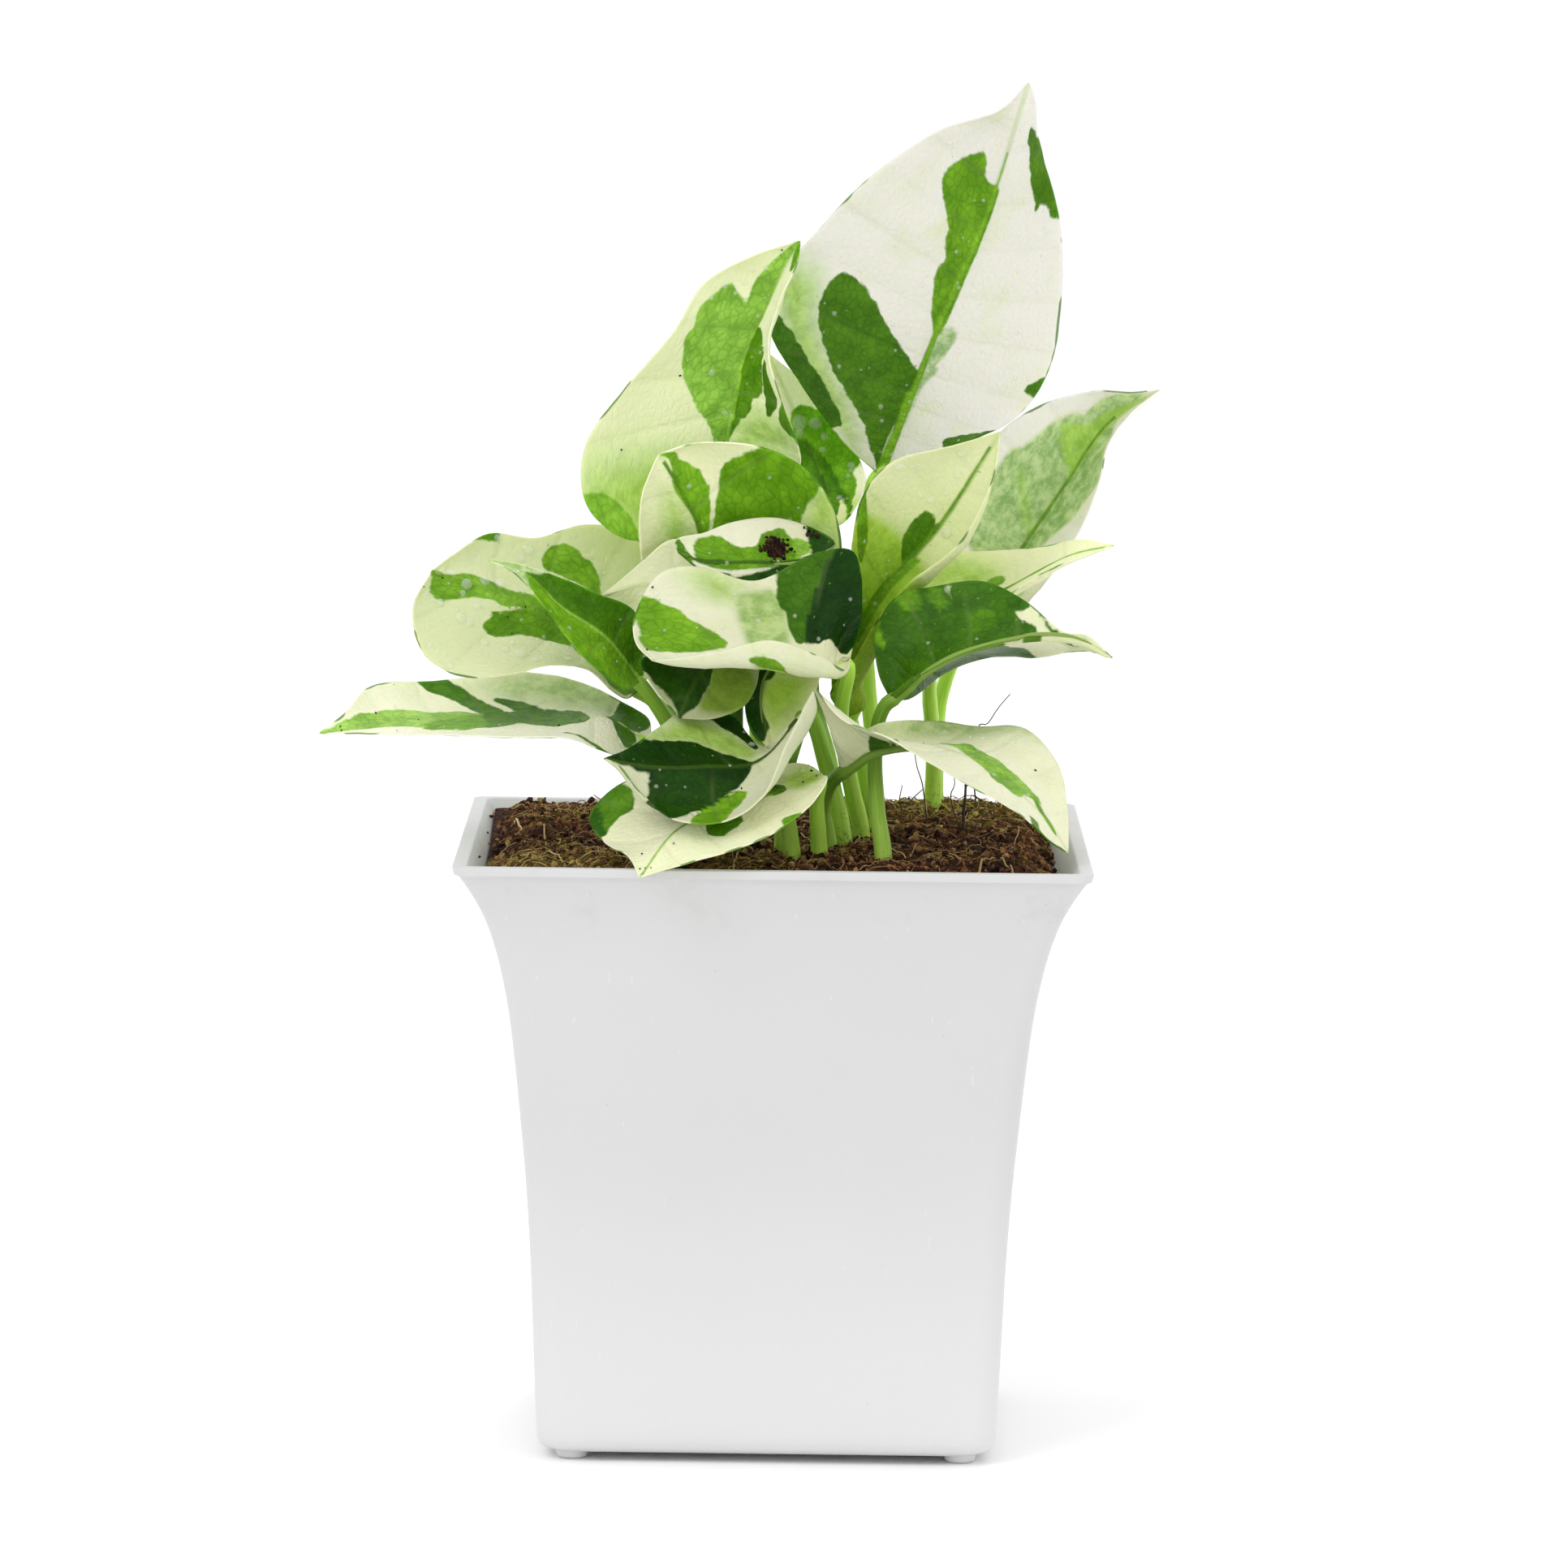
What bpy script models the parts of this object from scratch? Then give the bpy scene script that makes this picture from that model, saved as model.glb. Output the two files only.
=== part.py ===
# A variegated pothos in a square flared plastic pot.
# Metres, Z up. X is to the right and Y to the back.
# The origin is the middle of the plane that the pot stands on.
# The sizes and tables below are in millimetres, and MM turns them into metres.

import math
import bpy
import bmesh
import numpy as np

MM = 0.001

# Pot
POT_HEIGHT = 100.0
RIM_HALF = 52.0
WALL = 2.3
FLOOR_TOP = 4.0
FOOT_HEIGHT = 1.5
FOOT_RADIUS = 2.5
FOOT_SPREAD = 0.3
FOOT_OFFSET = 32.0
FOOT_SIDES = 16
BOSS_RADIUS = 5.0
ROOT = 0.8
CORNER_STEPS = 5

# Half width of the outside at each height: a slow taper, then the flare under the rim
POT_OUTSIDE = [
    (1.5, 35.6), (2.2, 37.0), (3.7, 37.7), (8.5, 38.0), (20.0, 38.5), (32.0, 39.0), (45.0, 39.8),
    (56.0, 40.8), (66.0, 41.8), (75.0, 42.9), (82.0, 44.2), (87.0, 45.5), (91.0, 46.9), (95.0, 48.9),
    (98.2, 50.9), (98.6, 51.7), (POT_HEIGHT, RIM_HALF),
]

# Corner radius of the outside: softer at the base, tight at the rim
POT_CORNERS = [(0.0, 4.5), (60.0, 4.0), (92.0, 3.2), (POT_HEIGHT, 2.4)]
TIGHTEST_CORNER = 1.2

# Heights of the rings of the inner wall, from the floor up
INSIDE_LEVELS = [10.0, 30.0, 50.0, 66.0, 75.0, 82.0, 87.0, 91.0, 95.0, 98.0, POT_HEIGHT]

# Where the wall meets the floor: how far in from the wall, corner radius, height above the floor
FLOOR_EDGE = [(0.4, 2.2, 1.5), (1.8, 1.8, 0.0)]

# Potting mix: its clearance to the wall, its top surface, and how far it is drawn in near the floor
MIX_GAP = 0.4
MIX_CELLS = 24
MIX_CORNER = 1.6
MIX_LEVEL = 99.3
MIX_FLOOR_GAP = 0.35
MIX_DRAWN_IN = [(FLOOR_TOP, 2.6), (6.0, 0.8), (10.0, 0.1)]
MIX_LEVELS = [94.0, 91.0, 87.0, 82.0, 75.0, 66.0, 50.0, 30.0, 10.0, 6.0, FLOOR_TOP + MIX_FLOOR_GAP]

# Relief of the mix: it rises to the back, has a mound at the back right, and low lumps
MIX_SLOPE = 0.012
MIX_SLOPE_START = -10.0
MOUND_HEIGHT = 1.5
MOUND_X = 22.0
MOUND_Y = 36.0
MOUND_SPREAD = 420.0
BROAD_LUMP = 0.28
BROAD_WAVES = (0.31, 0.27)
BROAD_SHIFT = 0.9
SLANTED_LUMP = 0.22
SLANTED_WAVES = (0.55, 0.45)

# Height of the mix at the wall, and how it changes to the right, the front and the back
EDGE_LEVEL = 97.2
EDGE_DROP_RIGHT = 1.6
EDGE_DROP_FRONT = 0.6
EDGE_RISE_BACK = 1.2
EDGE_BLEND = 0.14

# The plain holes that the stalks stand in
HOLE_GAP = 0.4
HOLE_DEPTH = 10.0
HOLE_SIDES = 10
FOOT_GAP = 0.3

# Leaf blades: thickness, and the midrib's ridge on the underside
BLADE_THICK = 0.7
RIDGE_HALF = 0.9
RIDGE_DROP = 0.9
RIDGE_FADE = 0.8
RIDGE_LIMIT = 0.35

# How a blade's surface is laid out: the midrib's lag behind the edges, the width from which the cup is
# full, the columns of points from the ridge to the edge, and the rows
RIB_LAG = 0.12
RIB_LAG_EASE = 0.3
CUP_FULL_WIDTH = 8.0
BLADE_COLUMNS = (0.0, 0.35, 0.7, 1.0)
ROW_SPACING = 4.5
FEWEST_ROWS = 8
MOST_ROWS = 14

# Stalks
STALK_FOOT_RADIUS = 1.5
STALK_TOP_RADIUS = 1.1
STALK_END = 0.7
STALK_SPACING = 7.0
STALK_STRAIGHT = 1.2
FEWEST_RINGS = 4
MOST_RINGS = 9

# Colours
POT_COLOUR = (0.80, 0.80, 0.79)
MIX_COLOUR = (0.09, 0.05, 0.03)
CREAM = (0.66, 0.72, 0.42)
GREEN = (0.11, 0.26, 0.03)
DARK_GREEN = (0.03, 0.10, 0.015)
STALK_COLOUR = (0.16, 0.29, 0.05)
GREEN_LEAVES = ("leaf_04", "leaf_13")
DARK_LEAVES = ("leaf_10", "leaf_16", "leaf_18", "leaf_19")

# Each blade: points along its midrib from the stalk to the tip, then the points that its left and right
# edges pass through in the same direction. Left and right are as seen with the upper face in view and
# the tip up. "cup" is how far the left and right halves bulge to the back.
LEAVES = {
    "leaf_01": {
        "midrib": [(17, 9, 160), (22, 13, 172.5), (27, 15, 185.5), (34.5, 16, 203.5),
                   (41, 13, 225.5)],
        "left": [(11.5, 6, 165), (3.5, 4, 175.5), (-2, 5, 185.5), (0.5, 6, 194), (6.5, 8, 201),
                 (13.5, 9, 208.5), (25.5, 12, 217), (36.5, 13, 221)],
        "right": [(22, 4, 163.5), (30.5, -1, 166), (39, -2, 170.5), (44.5, -1, 178),
                  (46.5, 1, 189.5), (46, 4, 203.5), (42.5, 9, 217), (42, 12, 222.5)],
        "cup": (1, 1),
    },
    "leaf_02": {
        "midrib": [(-10.5, -2, 156), (-9, -4, 166.5), (-6.5, -4, 179), (-2, -4, 189.5),
                   (3, -6, 199.5)],
        "left": [(-17, -8, 151.5), (-25, -14, 150.5), (-31.5, -14, 156), (-32, -12, 165.5),
                 (-25.5, -10, 175), (-17.5, -9, 184.5), (-12.5, -8, 192.5), (-4.5, -7, 197)],
        "right": [(-4, -7, 157), (3.5, -14, 163), (0.5, -16, 173), (-2, -14, 182),
                  (0, -10, 190.5), (2.5, -8, 196)],
        "cup": (1.5, 1),
    },
    "leaf_03": {
        "midrib": [(-7, -8, 135), (-9.5, -12, 144), (-12.5, -15, 152), (-16, -18, 159),
                   (-19.5, -22, 165)],
        "left": [(-13, -13, 133.5), (-21, -17, 143), (-22.5, -20, 151), (-22, -22, 158.5),
                 (-20.5, -22.5, 163)],
        "right": [(0.5, -9, 133.5), (9, -8.5, 140.5), (10.5, -10, 151), (5.5, -15.5, 161.5),
                  (-4, -20.5, 166.5), (-13, -22.5, 167)],
        "cup": (1.5, 2),
    },
    "leaf_04": {
        "midrib": [(8.5, 2, 151), (7, 7, 159.5), (3.5, 11, 168), (-2, 9.5, 180)],
        "left": [(3, 1, 151), (-3, 1, 158), (-6, 3.5, 167), (-5, 6, 175)],
        "right": [(11.5, 2, 153), (14.5, 5.5, 158.5), (13.5, 9.5, 162.5), (9.5, 11.5, 168.5),
                  (4, 11, 175)],
        "cup": (1, 1),
    },
    "leaf_05": {
        "midrib": [(13, -6, 121.5), (13.5, -6, 132), (17.5, -5, 141.5), (26, -5, 151.5),
                   (36.5, -9, 168.5)],
        "left": [(10.5, -6.5, 121.5), (9.5, -9.5, 132.5), (12, -12, 144.5), (14, -12, 158),
                 (19, -11, 163.5), (28.5, -10, 166)],
        "right": [(12, -11, 121.5), (9, -14, 125), (12.5, -15.5, 130.5), (16.5, -15, 137.5),
                  (21.5, -15, 143.5), (30.5, -13, 151), (35.5, -10, 161.5)],
        "cup": (1, 3),
    },
    "leaf_06": {
        "midrib": [(7.5, -19, 149), (2.5, -22, 148), (-5, -25, 148), (-11.5, -27, 148),
                   (-16, -28.5, 149.5)],
        "left": [(9, -19, 147), (3.5, -22.5, 145), (-2, -25, 143.5), (-7.5, -27, 144),
                 (-13, -28, 147)],
        "right": [(9.5, -14.5, 150.5), (5, -14, 153), (-1, -16.5, 154.5), (-7.5, -21, 154),
                  (-12, -24.5, 152.5), (-16.5, -27.5, 151.5)],
        "cup": (0.5, 1),
    },
    "leaf_07": {
        "midrib": [(12, -26, 132.5), (6, -31, 131), (-3.5, -35, 132.5), (-12.5, -38, 133),
                   (-20, -40, 133)],
        "left": [(11.5, -32, 131), (6.5, -38, 134), (-1, -41, 136.5), (-8, -42, 135),
                 (-16, -42, 133.5)],
        "right": [(14, -22, 139), (12.5, -22, 149.5), (5.5, -25, 149), (-3.5, -28, 145),
                  (-13, -31, 147.5), (-19, -34, 146.5), (-23, -38, 139.5), (-22.5, -40, 135.5)],
        "cup": (2.5, 2),
    },
    "leaf_08": {
        "midrib": [(34, 24, 135), (42, 24, 147.5), (48.5, 23, 157.5), (55.5, 22, 168),
                   (64, 19, 174)],
        "left": [(29, 20, 136.5), (28.5, 18, 146.5), (31.5, 16, 157.5), (37, 15, 166.5),
                 (44.5, 16, 171.5), (52.5, 18, 173.5), (59.5, 18, 173.5)],
        "right": [(37, 20, 133), (43, 16, 139), (49.5, 13, 148.5), (53.5, 12, 157.5),
                  (55.5, 14, 165.5), (59.5, 17, 170.5)],
        "cup": (1, 1),
    },
    "leaf_09": {
        "midrib": [(25, 4, 132.5), (31, 3, 137.5), (38.5, 1, 142), (48.5, 0, 147.5),
                   (56, -2, 149.5)],
        "left": [(22, 8, 136), (22, 12, 141), (27, 14, 146), (35, 12, 147), (43, 8, 148),
                 (50.5, 2, 150)],
        "right": [(23.5, 2, 129.5), (24.5, -2, 125), (29.5, -7, 132), (37.5, -8, 140.5),
                  (46, -6, 146), (53, -3, 148.5)],
        "cup": (1, 1),
    },
    "leaf_10": {
        "midrib": [(19, -24, 125.5), (23, -26, 129), (30, -28, 133), (38.5, -28, 135.5),
                   (47.5, -27, 136), (55, -28, 133)],
        "left": [(17, -22, 129.5), (16.5, -19, 136.5), (20, -17, 142), (26, -17, 143.5),
                 (34, -18, 144.5), (41, -20, 141.5), (47, -24, 137), (51, -27, 136.5)],
        "right": [(22, -20, 125), (28, -12, 128.5), (35, -10, 131), (43.5, -12, 131.5),
                  (49.5, -18, 133), (52.5, -25, 133.5)],
        "cup": (2, 0.5),
    },
    "leaf_11": {
        "midrib": [(11, -28, 114.5), (15.5, -30, 117.5), (22, -31, 119), (31, -33, 117.5),
                   (39, -36, 112.5), (45, -39, 107), (48, -42, 102.5)],
        "left": [(12.5, -26, 118.5), (16.5, -27.5, 121.5), (20.5, -25, 122), (26, -20, 121.5),
                 (33, -18, 120.5), (41, -21, 120.5), (46.5, -27, 115.5), (48, -35, 108.5)],
        "right": [(9, -33, 121), (6.5, -34.5, 128), (11, -38, 123.5), (18, -40, 121),
                  (24.5, -43, 117.5), (33, -45, 113), (40.5, -46, 109), (44.5, -45, 105)],
        "cup": (1, 0.5),
    },
    "leaf_12": {
        "midrib": [(-22.5, -12, 125.5), (-32.5, -13, 133.5), (-41, -16, 139), (-49, -19, 143),
                   (-56.5, -23, 145.5)],
        "left": [(-25, -18, 124.5), (-31, -24, 130), (-36.5, -27, 131), (-43, -30, 129.5),
                 (-51, -31, 129), (-57.5, -30, 132.5), (-59.5, -27, 139.5)],
        "right": [(-19, -6, 131.5), (-19.5, -2, 144.5), (-24.5, -2, 150.5), (-32, -5, 152),
                  (-40, -9, 150), (-47.5, -14, 151), (-53, -19, 148)],
        "cup": (1, 1.5),
    },
    "leaf_13": {
        "midrib": [(-22, -23, 128), (-28, -26.5, 135.5), (-35, -29.5, 140.5), (-40.5, -32.5, 146),
                   (-47, -34.5, 148.5)],
        "left": [(-24.5, -29, 127), (-29.5, -33.5, 131), (-34, -35.5, 136), (-38, -36.5, 141.5),
                 (-42.5, -36.5, 146.5)],
        "right": [(-21, -21.5, 133.5), (-23.5, -24, 139.5), (-29.5, -27, 142.5), (-35, -29.5, 145),
                  (-41.5, -32.5, 147.5)],
        "cup": (0.5, 1.5),
    },
    "leaf_14": {
        "midrib": [(-7, -22, 141), (-14.5, -23, 143.5), (-22, -21.5, 143.5), (-29, -20, 141.5)],
        "left": [(-7.5, -24, 138), (-14, -25.5, 139), (-20, -23, 138.5), (-25.5, -19.5, 138.5)],
        "right": [(-7, -19.5, 146.5), (-13, -20, 150), (-17.5, -20.5, 151), (-22, -21, 147.5),
                  (-26.5, -20, 143.5)],
        "cup": (0.5, 0.5),
    },
    "leaf_15": {
        "midrib": [(-21.5, -22, 118.5), (-27.5, -22, 122), (-34, -22, 121), (-42, -22, 120.5),
                   (-53, -22, 120.5), (-65, -22, 120), (-75, -22, 118.5)],
        "left": [(-22, -26, 116), (-26, -31, 116.5), (-34, -34, 119.5), (-41.5, -34, 119.5),
                 (-52.5, -31, 119.5), (-63, -27, 119)],
        "right": [(-20.5, -19, 119), (-21, -16, 121), (-25, -12.5, 123), (-32, -9, 126),
                  (-42.5, -7, 127.5), (-56, -9, 126), (-67, -14, 125.5), (-71, -19, 121.5)],
        "cup": (0.5, 1.5),
    },
    "leaf_16": {
        "midrib": [(4, -34, 124), (-3, -38, 116.5), (-11, -41, 116), (-19, -43, 116),
                   (-27.5, -46, 117.5)],
        "left": [(6, -38, 128), (2, -46, 120.5), (-2, -50, 112), (-8.5, -53, 108),
                 (-16, -53, 108.5), (-21.5, -51, 112.5), (-25, -48, 116.5)],
        "right": [(-0.5, -32, 119), (-3, -29.5, 117.5), (-6.5, -29, 122.5), (-13.5, -31, 124.5),
                  (-19, -36, 121.5), (-24, -42, 118.5)],
        "cup": (2.5, 1.5),
    },
    "leaf_17": {
        "midrib": [(7.5, -36, 114.5), (1, -40, 112), (-7, -44, 109.5), (-15.5, -49, 106.5),
                   (-21.5, -57, 99.5)],
        "left": [(8.5, -42, 114), (5, -48, 109.5), (-3, -54, 105), (-12, -57, 102.5),
                 (-17.5, -58, 101)],
        "right": [(5.5, -34, 115.5), (-3, -32.5, 115.5), (-14, -32, 114), (-25, -34, 112),
                  (-30, -38, 107), (-27.5, -44, 103.5), (-23.5, -50, 102)],
        "cup": (0.8, 1),
    },
    "leaf_18": {
        "midrib": [(-7, -22, 134.5), (-10, -28, 132.5), (-13.5, -33, 128), (-15.5, -35, 123)],
        "left": [(-3.5, -24, 134), (-3, -28, 129), (-5, -31.5, 125), (-10, -34.5, 123)],
        "right": [(-10, -24, 136), (-17, -29, 135.5), (-22, -32, 132), (-20, -34, 128),
                  (-17.5, -35, 125)],
        "cup": (1.5, 1),
    },
    "leaf_19": {
        "midrib": [(2.5, -23, 133.5), (-1.5, -24.5, 129), (-2, -27.5, 123), (-0.5, -29.5, 117.5)],
        "left": [(7, -25, 132), (6.5, -27, 127), (4, -28.5, 122.5), (1.5, -29.5, 119)],
        "right": [(-1, -20.5, 133.5), (-4, -21.5, 129), (-5, -24.5, 124), (-3.5, -28, 119.5)],
        "cup": (1.5, 1),
    },
}

# Each stalk: where it stands in the mix, then the points that it passes up to the underside of its blade.
STALKS = {
    "stalk_01": [(16.5, 14), (16.5, 9, 112.5), (15, 5, 131), (15, 7, 147), (16, 9.5, 159)],
    "stalk_02": [(1.5, 12), (0.5, 8, 116.5), (-2, 4, 130.5), (-7.5, 0, 144.5), (-10.5, -1, 155)],
    "stalk_03": [(11.5, -8), (8.5, -10.5, 113), (5.5, -14.5, 122.5), (0, -12, 130), (-7, -6.5, 133.5)],
    "stalk_04": [(13.5, 23), (13, 17, 111.5), (12, 11, 123.5), (10, 4, 139), (8.5, 2, 149.5)],
    "stalk_05": [(16, 8), (15, 2, 109.5), (14, -3, 116), (12.5, -4, 120.5)],
    "stalk_06": [(10.5, 1), (9, -5, 113), (6, -11, 125), (6.5, -15, 138), (7, -17.5, 147)],
    "stalk_07": [(14.5, -2), (13, -7, 108), (11.5, -14, 116), (11, -20, 124), (12, -25, 130.5)],
    "stalk_08": [(27.5, 38), (27.5, 36, 110), (28, 34, 119), (30, 29, 126.5), (33.5, 25, 134)],
    "stalk_09": [(27, 30), (27, 26, 111), (26, 17, 121.5), (25.5, 8, 128.5), (24, 5, 131.5)],
    "stalk_10": [(18, -27), (17, -26, 107), (16.5, -23.5, 115.5), (17, -22.5, 121.5), (18.5, -23, 125)],
    "stalk_11": [(9, -13), (8, -16, 106), (9, -21, 110.5), (11, -27.5, 113.5)],
    "stalk_12": [(-12, -2), (-16, -6, 115), (-18, -10, 121), (-22, -11, 124.5)],
    "stalk_13": [(-13, -14), (-15, -17, 112), (-17.5, -20, 120), (-22, -22.5, 127)],
    "stalk_14": [(-3, -6), (-3, -12, 118.5), (-4, -16, 132.5), (-6.5, -20.5, 139.5)],
    "stalk_15": [(-11, -24), (-16, -24, 111), (-21, -22, 117)],
    "stalk_16": [(3, -27), (1.5, -29, 112), (2.5, -30.5, 116), (4.5, -31.5, 123)],
    "stalk_17": [(7.5, -25), (7, -30, 109), (7.5, -34.5, 112.5)],
    "stalk_18": [(-6, -16), (-6.5, -19, 119.5), (-6.5, -20, 128), (-7, -21, 132.5)],
    "stalk_19": [(1.5, -18), (2, -20, 117), (2.5, -20, 126), (3, -20.5, 132)],
}


def clear_scene():
    for old in list(bpy.data.objects):
        bpy.data.objects.remove(old, do_unlink=True)


def add_object(name, data, colour, roughness):
    """Puts a mesh or a curve into the scene with a material of its own."""
    material = bpy.data.materials.new(name)
    material.use_nodes = True
    shader = material.node_tree.nodes["Principled BSDF"]
    shader.inputs["Base Color"].default_value = (*colour, 1.0)
    shader.inputs["Roughness"].default_value = roughness
    shader.inputs["Metallic"].default_value = 0.0
    data.materials.append(material)
    obj = bpy.data.objects.new(name, data)
    bpy.context.scene.collection.objects.link(obj)
    return obj


def mesh_from(name, bm):
    """Turns a bmesh whose points are in millimetres into a mesh in metres."""
    bmesh.ops.scale(bm, vec=(MM, MM, MM), verts=bm.verts)
    mesh = bpy.data.meshes.new(name)
    bm.to_mesh(mesh)
    bm.free()
    return mesh


def apply_boolean(obj, cutter, operation):
    """Joins the cutter's shape to the object, or cuts it out, and removes the cutter."""
    cutter.hide_render = True
    cutter.display_type = "WIRE"
    modifier = obj.modifiers.new("boolean", "BOOLEAN")
    modifier.object = cutter
    modifier.operation = operation
    modifier.solver = "EXACT"
    bpy.context.view_layer.objects.active = obj
    bpy.ops.object.modifier_apply(modifier=modifier.name)
    bpy.data.objects.remove(cutter, do_unlink=True)


def at_height(table, height):
    """Reads a table of (height, value) pairs, with straight lines between its entries."""
    heights = [pair[0] for pair in table]
    values = [pair[1] for pair in table]
    return float(np.interp(height, heights, values))


# Curves

def smooth_path(points, steps=12):
    """A smooth curve through the points, as an array of closely spaced positions."""
    known = np.array(points, float)
    ends = np.vstack([2 * known[0] - known[1], known, 2 * known[-1] - known[-2]])
    curve = []
    for index in range(len(known) - 1):
        before, start, stop, after = ends[index:index + 4]
        gap_before = np.linalg.norm(start - before) ** 0.5
        gap = np.linalg.norm(stop - start) ** 0.5
        gap_after = np.linalg.norm(after - stop) ** 0.5
        leave = (start - before) / gap_before - (stop - before) / (gap_before + gap) + (stop - start) / gap
        arrive = (stop - start) / gap - (after - start) / (gap + gap_after) + (after - stop) / gap_after
        for step in range(steps):
            t = step / steps
            curve.append(
                (2 * t ** 3 - 3 * t ** 2 + 1) * start
                + (t ** 3 - 2 * t ** 2 + t) * leave * gap
                + (3 * t ** 2 - 2 * t ** 3) * stop
                + (t ** 3 - t ** 2) * arrive * gap
            )
    curve.append(known[-1])
    return np.array(curve)


def path_length(points):
    return float(np.linalg.norm(np.diff(smooth_path(points), axis=0), axis=1).sum())


def along_path(points, fractions):
    """Positions at the given fractions of the curve's length."""
    curve = smooth_path(points)
    steps = np.linalg.norm(np.diff(curve, axis=0), axis=1)
    distance = np.concatenate([[0.0], np.cumsum(steps)])
    distance = distance / distance[-1]
    return np.stack([np.interp(fractions, distance, curve[:, axis]) for axis in range(3)], axis=1)


# Leaf blades

def blade_surface(leaf, rows):
    """The blade's upper face: a row of points for each step from the base to the tip, each running
    from the left edge over the midrib to the right edge. The midrib lags behind the edges, so that
    the rows lean to the tip as the side veins do."""
    step = np.linspace(0.0, 1.0, rows + 1)
    rib = along_path(leaf["midrib"], step - RIB_LAG * np.sin(math.pi * step) * (1.0 - RIB_LAG_EASE * step))
    forward = np.gradient(rib, axis=0)
    halves = []
    for side, cup in zip(("left", "right"), leaf["cup"]):
        rail = [leaf["midrib"][0]] + leaf[side] + [leaf["midrib"][-1]]
        across = along_path(rail, step) - rib
        width = np.linalg.norm(across, axis=1)
        if side == "left":
            up = np.cross(-across, forward)
        else:
            up = np.cross(across, forward)
        up = up / np.maximum(np.linalg.norm(up, axis=1), 1e-6)[:, None]
        first = np.minimum(RIDGE_HALF / np.maximum(width, 1e-6), RIDGE_LIMIT)
        columns = []
        for part in BLADE_COLUMNS:
            share = first + (1.0 - first) * part
            sag = cup * 4.0 * share * (1.0 - share) * np.minimum(width / CUP_FULL_WIDTH, 1.0)
            columns.append(rib + across * share[:, None] - up * sag[:, None])
        halves.append(columns)
    return np.stack(halves[0][::-1] + [rib] + halves[1], axis=1)


def blade_rows(leaf):
    """One row for each spacing along the midrib and two more, within the limits."""
    rows = round(path_length(leaf["midrib"]) / ROW_SPACING) + 2
    return int(min(MOST_ROWS, max(FEWEST_ROWS, rows)))


def make_blade(name, leaf):
    rows = blade_rows(leaf)
    surface = blade_surface(leaf, rows)
    middle = surface.shape[1] // 2
    bm = bmesh.new()
    weight = bm.verts.layers.float.new("ridge")
    base = bm.verts.new(surface[0, middle])
    grid = [[base] * (2 * middle + 1)]
    for row in surface[1:-1]:
        grid.append([bm.verts.new(point) for point in row])
    tip = bm.verts.new(surface[-1, middle])
    grid.append([tip] * (2 * middle + 1))

    # The midrib's points are thicker, less so towards the tip
    for row in range(rows):
        grid[row][middle][weight] = 1.0 - RIDGE_FADE * row / rows

    # Every cell is split into triangles along the diagonal that leans to the tip
    for low, high in zip(grid[:-1], grid[1:]):
        for column in range(2 * middle):
            a, b, c, d = low[column], low[column + 1], high[column + 1], high[column]
            pair = ((a, b, c), (a, c, d)) if column < middle else ((b, c, d), (b, d, a))
            for corners in pair:
                if len(set(corners)) == 3:
                    bm.faces.new(corners)
    ridge = [vert[weight] for vert in bm.verts]
    mesh = mesh_from(name, bm)

    if name in GREEN_LEAVES:
        colour = GREEN
    elif name in DARK_LEAVES:
        colour = DARK_GREEN
    else:
        colour = CREAM
    blade = add_object(name, mesh, colour, 0.35)

    # The upper face is the shape above, and the thickness grows to the underside
    group = blade.vertex_groups.new(name="thickness")
    total = BLADE_THICK + RIDGE_DROP
    for index, share in enumerate(ridge):
        group.add([index], (BLADE_THICK + RIDGE_DROP * share) / total, "REPLACE")
    solid = blade.modifiers.new("thickness", "SOLIDIFY")
    solid.thickness = total * MM
    solid.offset = -1.0
    solid.vertex_group = group.name
    solid.use_rim = True


# Stalks

def make_stalk(name, path):
    """A round tapering tube that stands straight in its hole and then follows the path."""
    foot_x, foot_y = path[0]
    level = mix_height(foot_x, foot_y)
    bend = [(foot_x, foot_y, level + STALK_STRAIGHT)] + path[1:]
    rings = round(path_length(bend) / STALK_SPACING) + 1
    rings = int(min(MOST_RINGS, max(FEWEST_RINGS, rings)))
    centres = [(foot_x, foot_y, level - HOLE_DEPTH + FOOT_GAP)]
    centres += [tuple(point) for point in along_path(bend, np.linspace(0.0, 1.0, rings))]
    radii = [STALK_FOOT_RADIUS] + list(np.linspace(STALK_FOOT_RADIUS, STALK_TOP_RADIUS, rings))
    radii[-1] = STALK_TOP_RADIUS * STALK_END

    curve = bpy.data.curves.new(name, "CURVE")
    curve.dimensions = "3D"
    curve.bevel_depth = STALK_FOOT_RADIUS * MM
    curve.bevel_resolution = 2
    curve.use_fill_caps = True
    spline = curve.splines.new("POLY")
    spline.points.add(len(centres) - 1)
    for point, centre, radius in zip(spline.points, centres, radii):
        point.co = (centre[0] * MM, centre[1] * MM, centre[2] * MM, 1.0)
        point.radius = radius / STALK_FOOT_RADIUS
    add_object(name, curve, STALK_COLOUR, 0.4)


# Pot

def rounded_square(half, radius, height):
    """Points of a square with rounded corners, anticlockwise from above."""
    points = []
    for quarter in range(4):
        middle = math.pi / 2 * quarter + math.pi / 4
        reach = (half - radius) * math.sqrt(2.0)
        for step in range(CORNER_STEPS + 1):
            angle = math.pi / 2 * (quarter + step / CORNER_STEPS)
            x = reach * math.cos(middle) + radius * math.cos(angle)
            y = reach * math.sin(middle) + radius * math.sin(angle)
            points.append((x, y, height))
    return points


def inside_half(height):
    """Half width of the inner wall, which is one thickness in and straight between its rings."""
    wall = [(level, at_height(POT_OUTSIDE, level) - WALL) for level in INSIDE_LEVELS]
    return at_height(wall, height)


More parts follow.
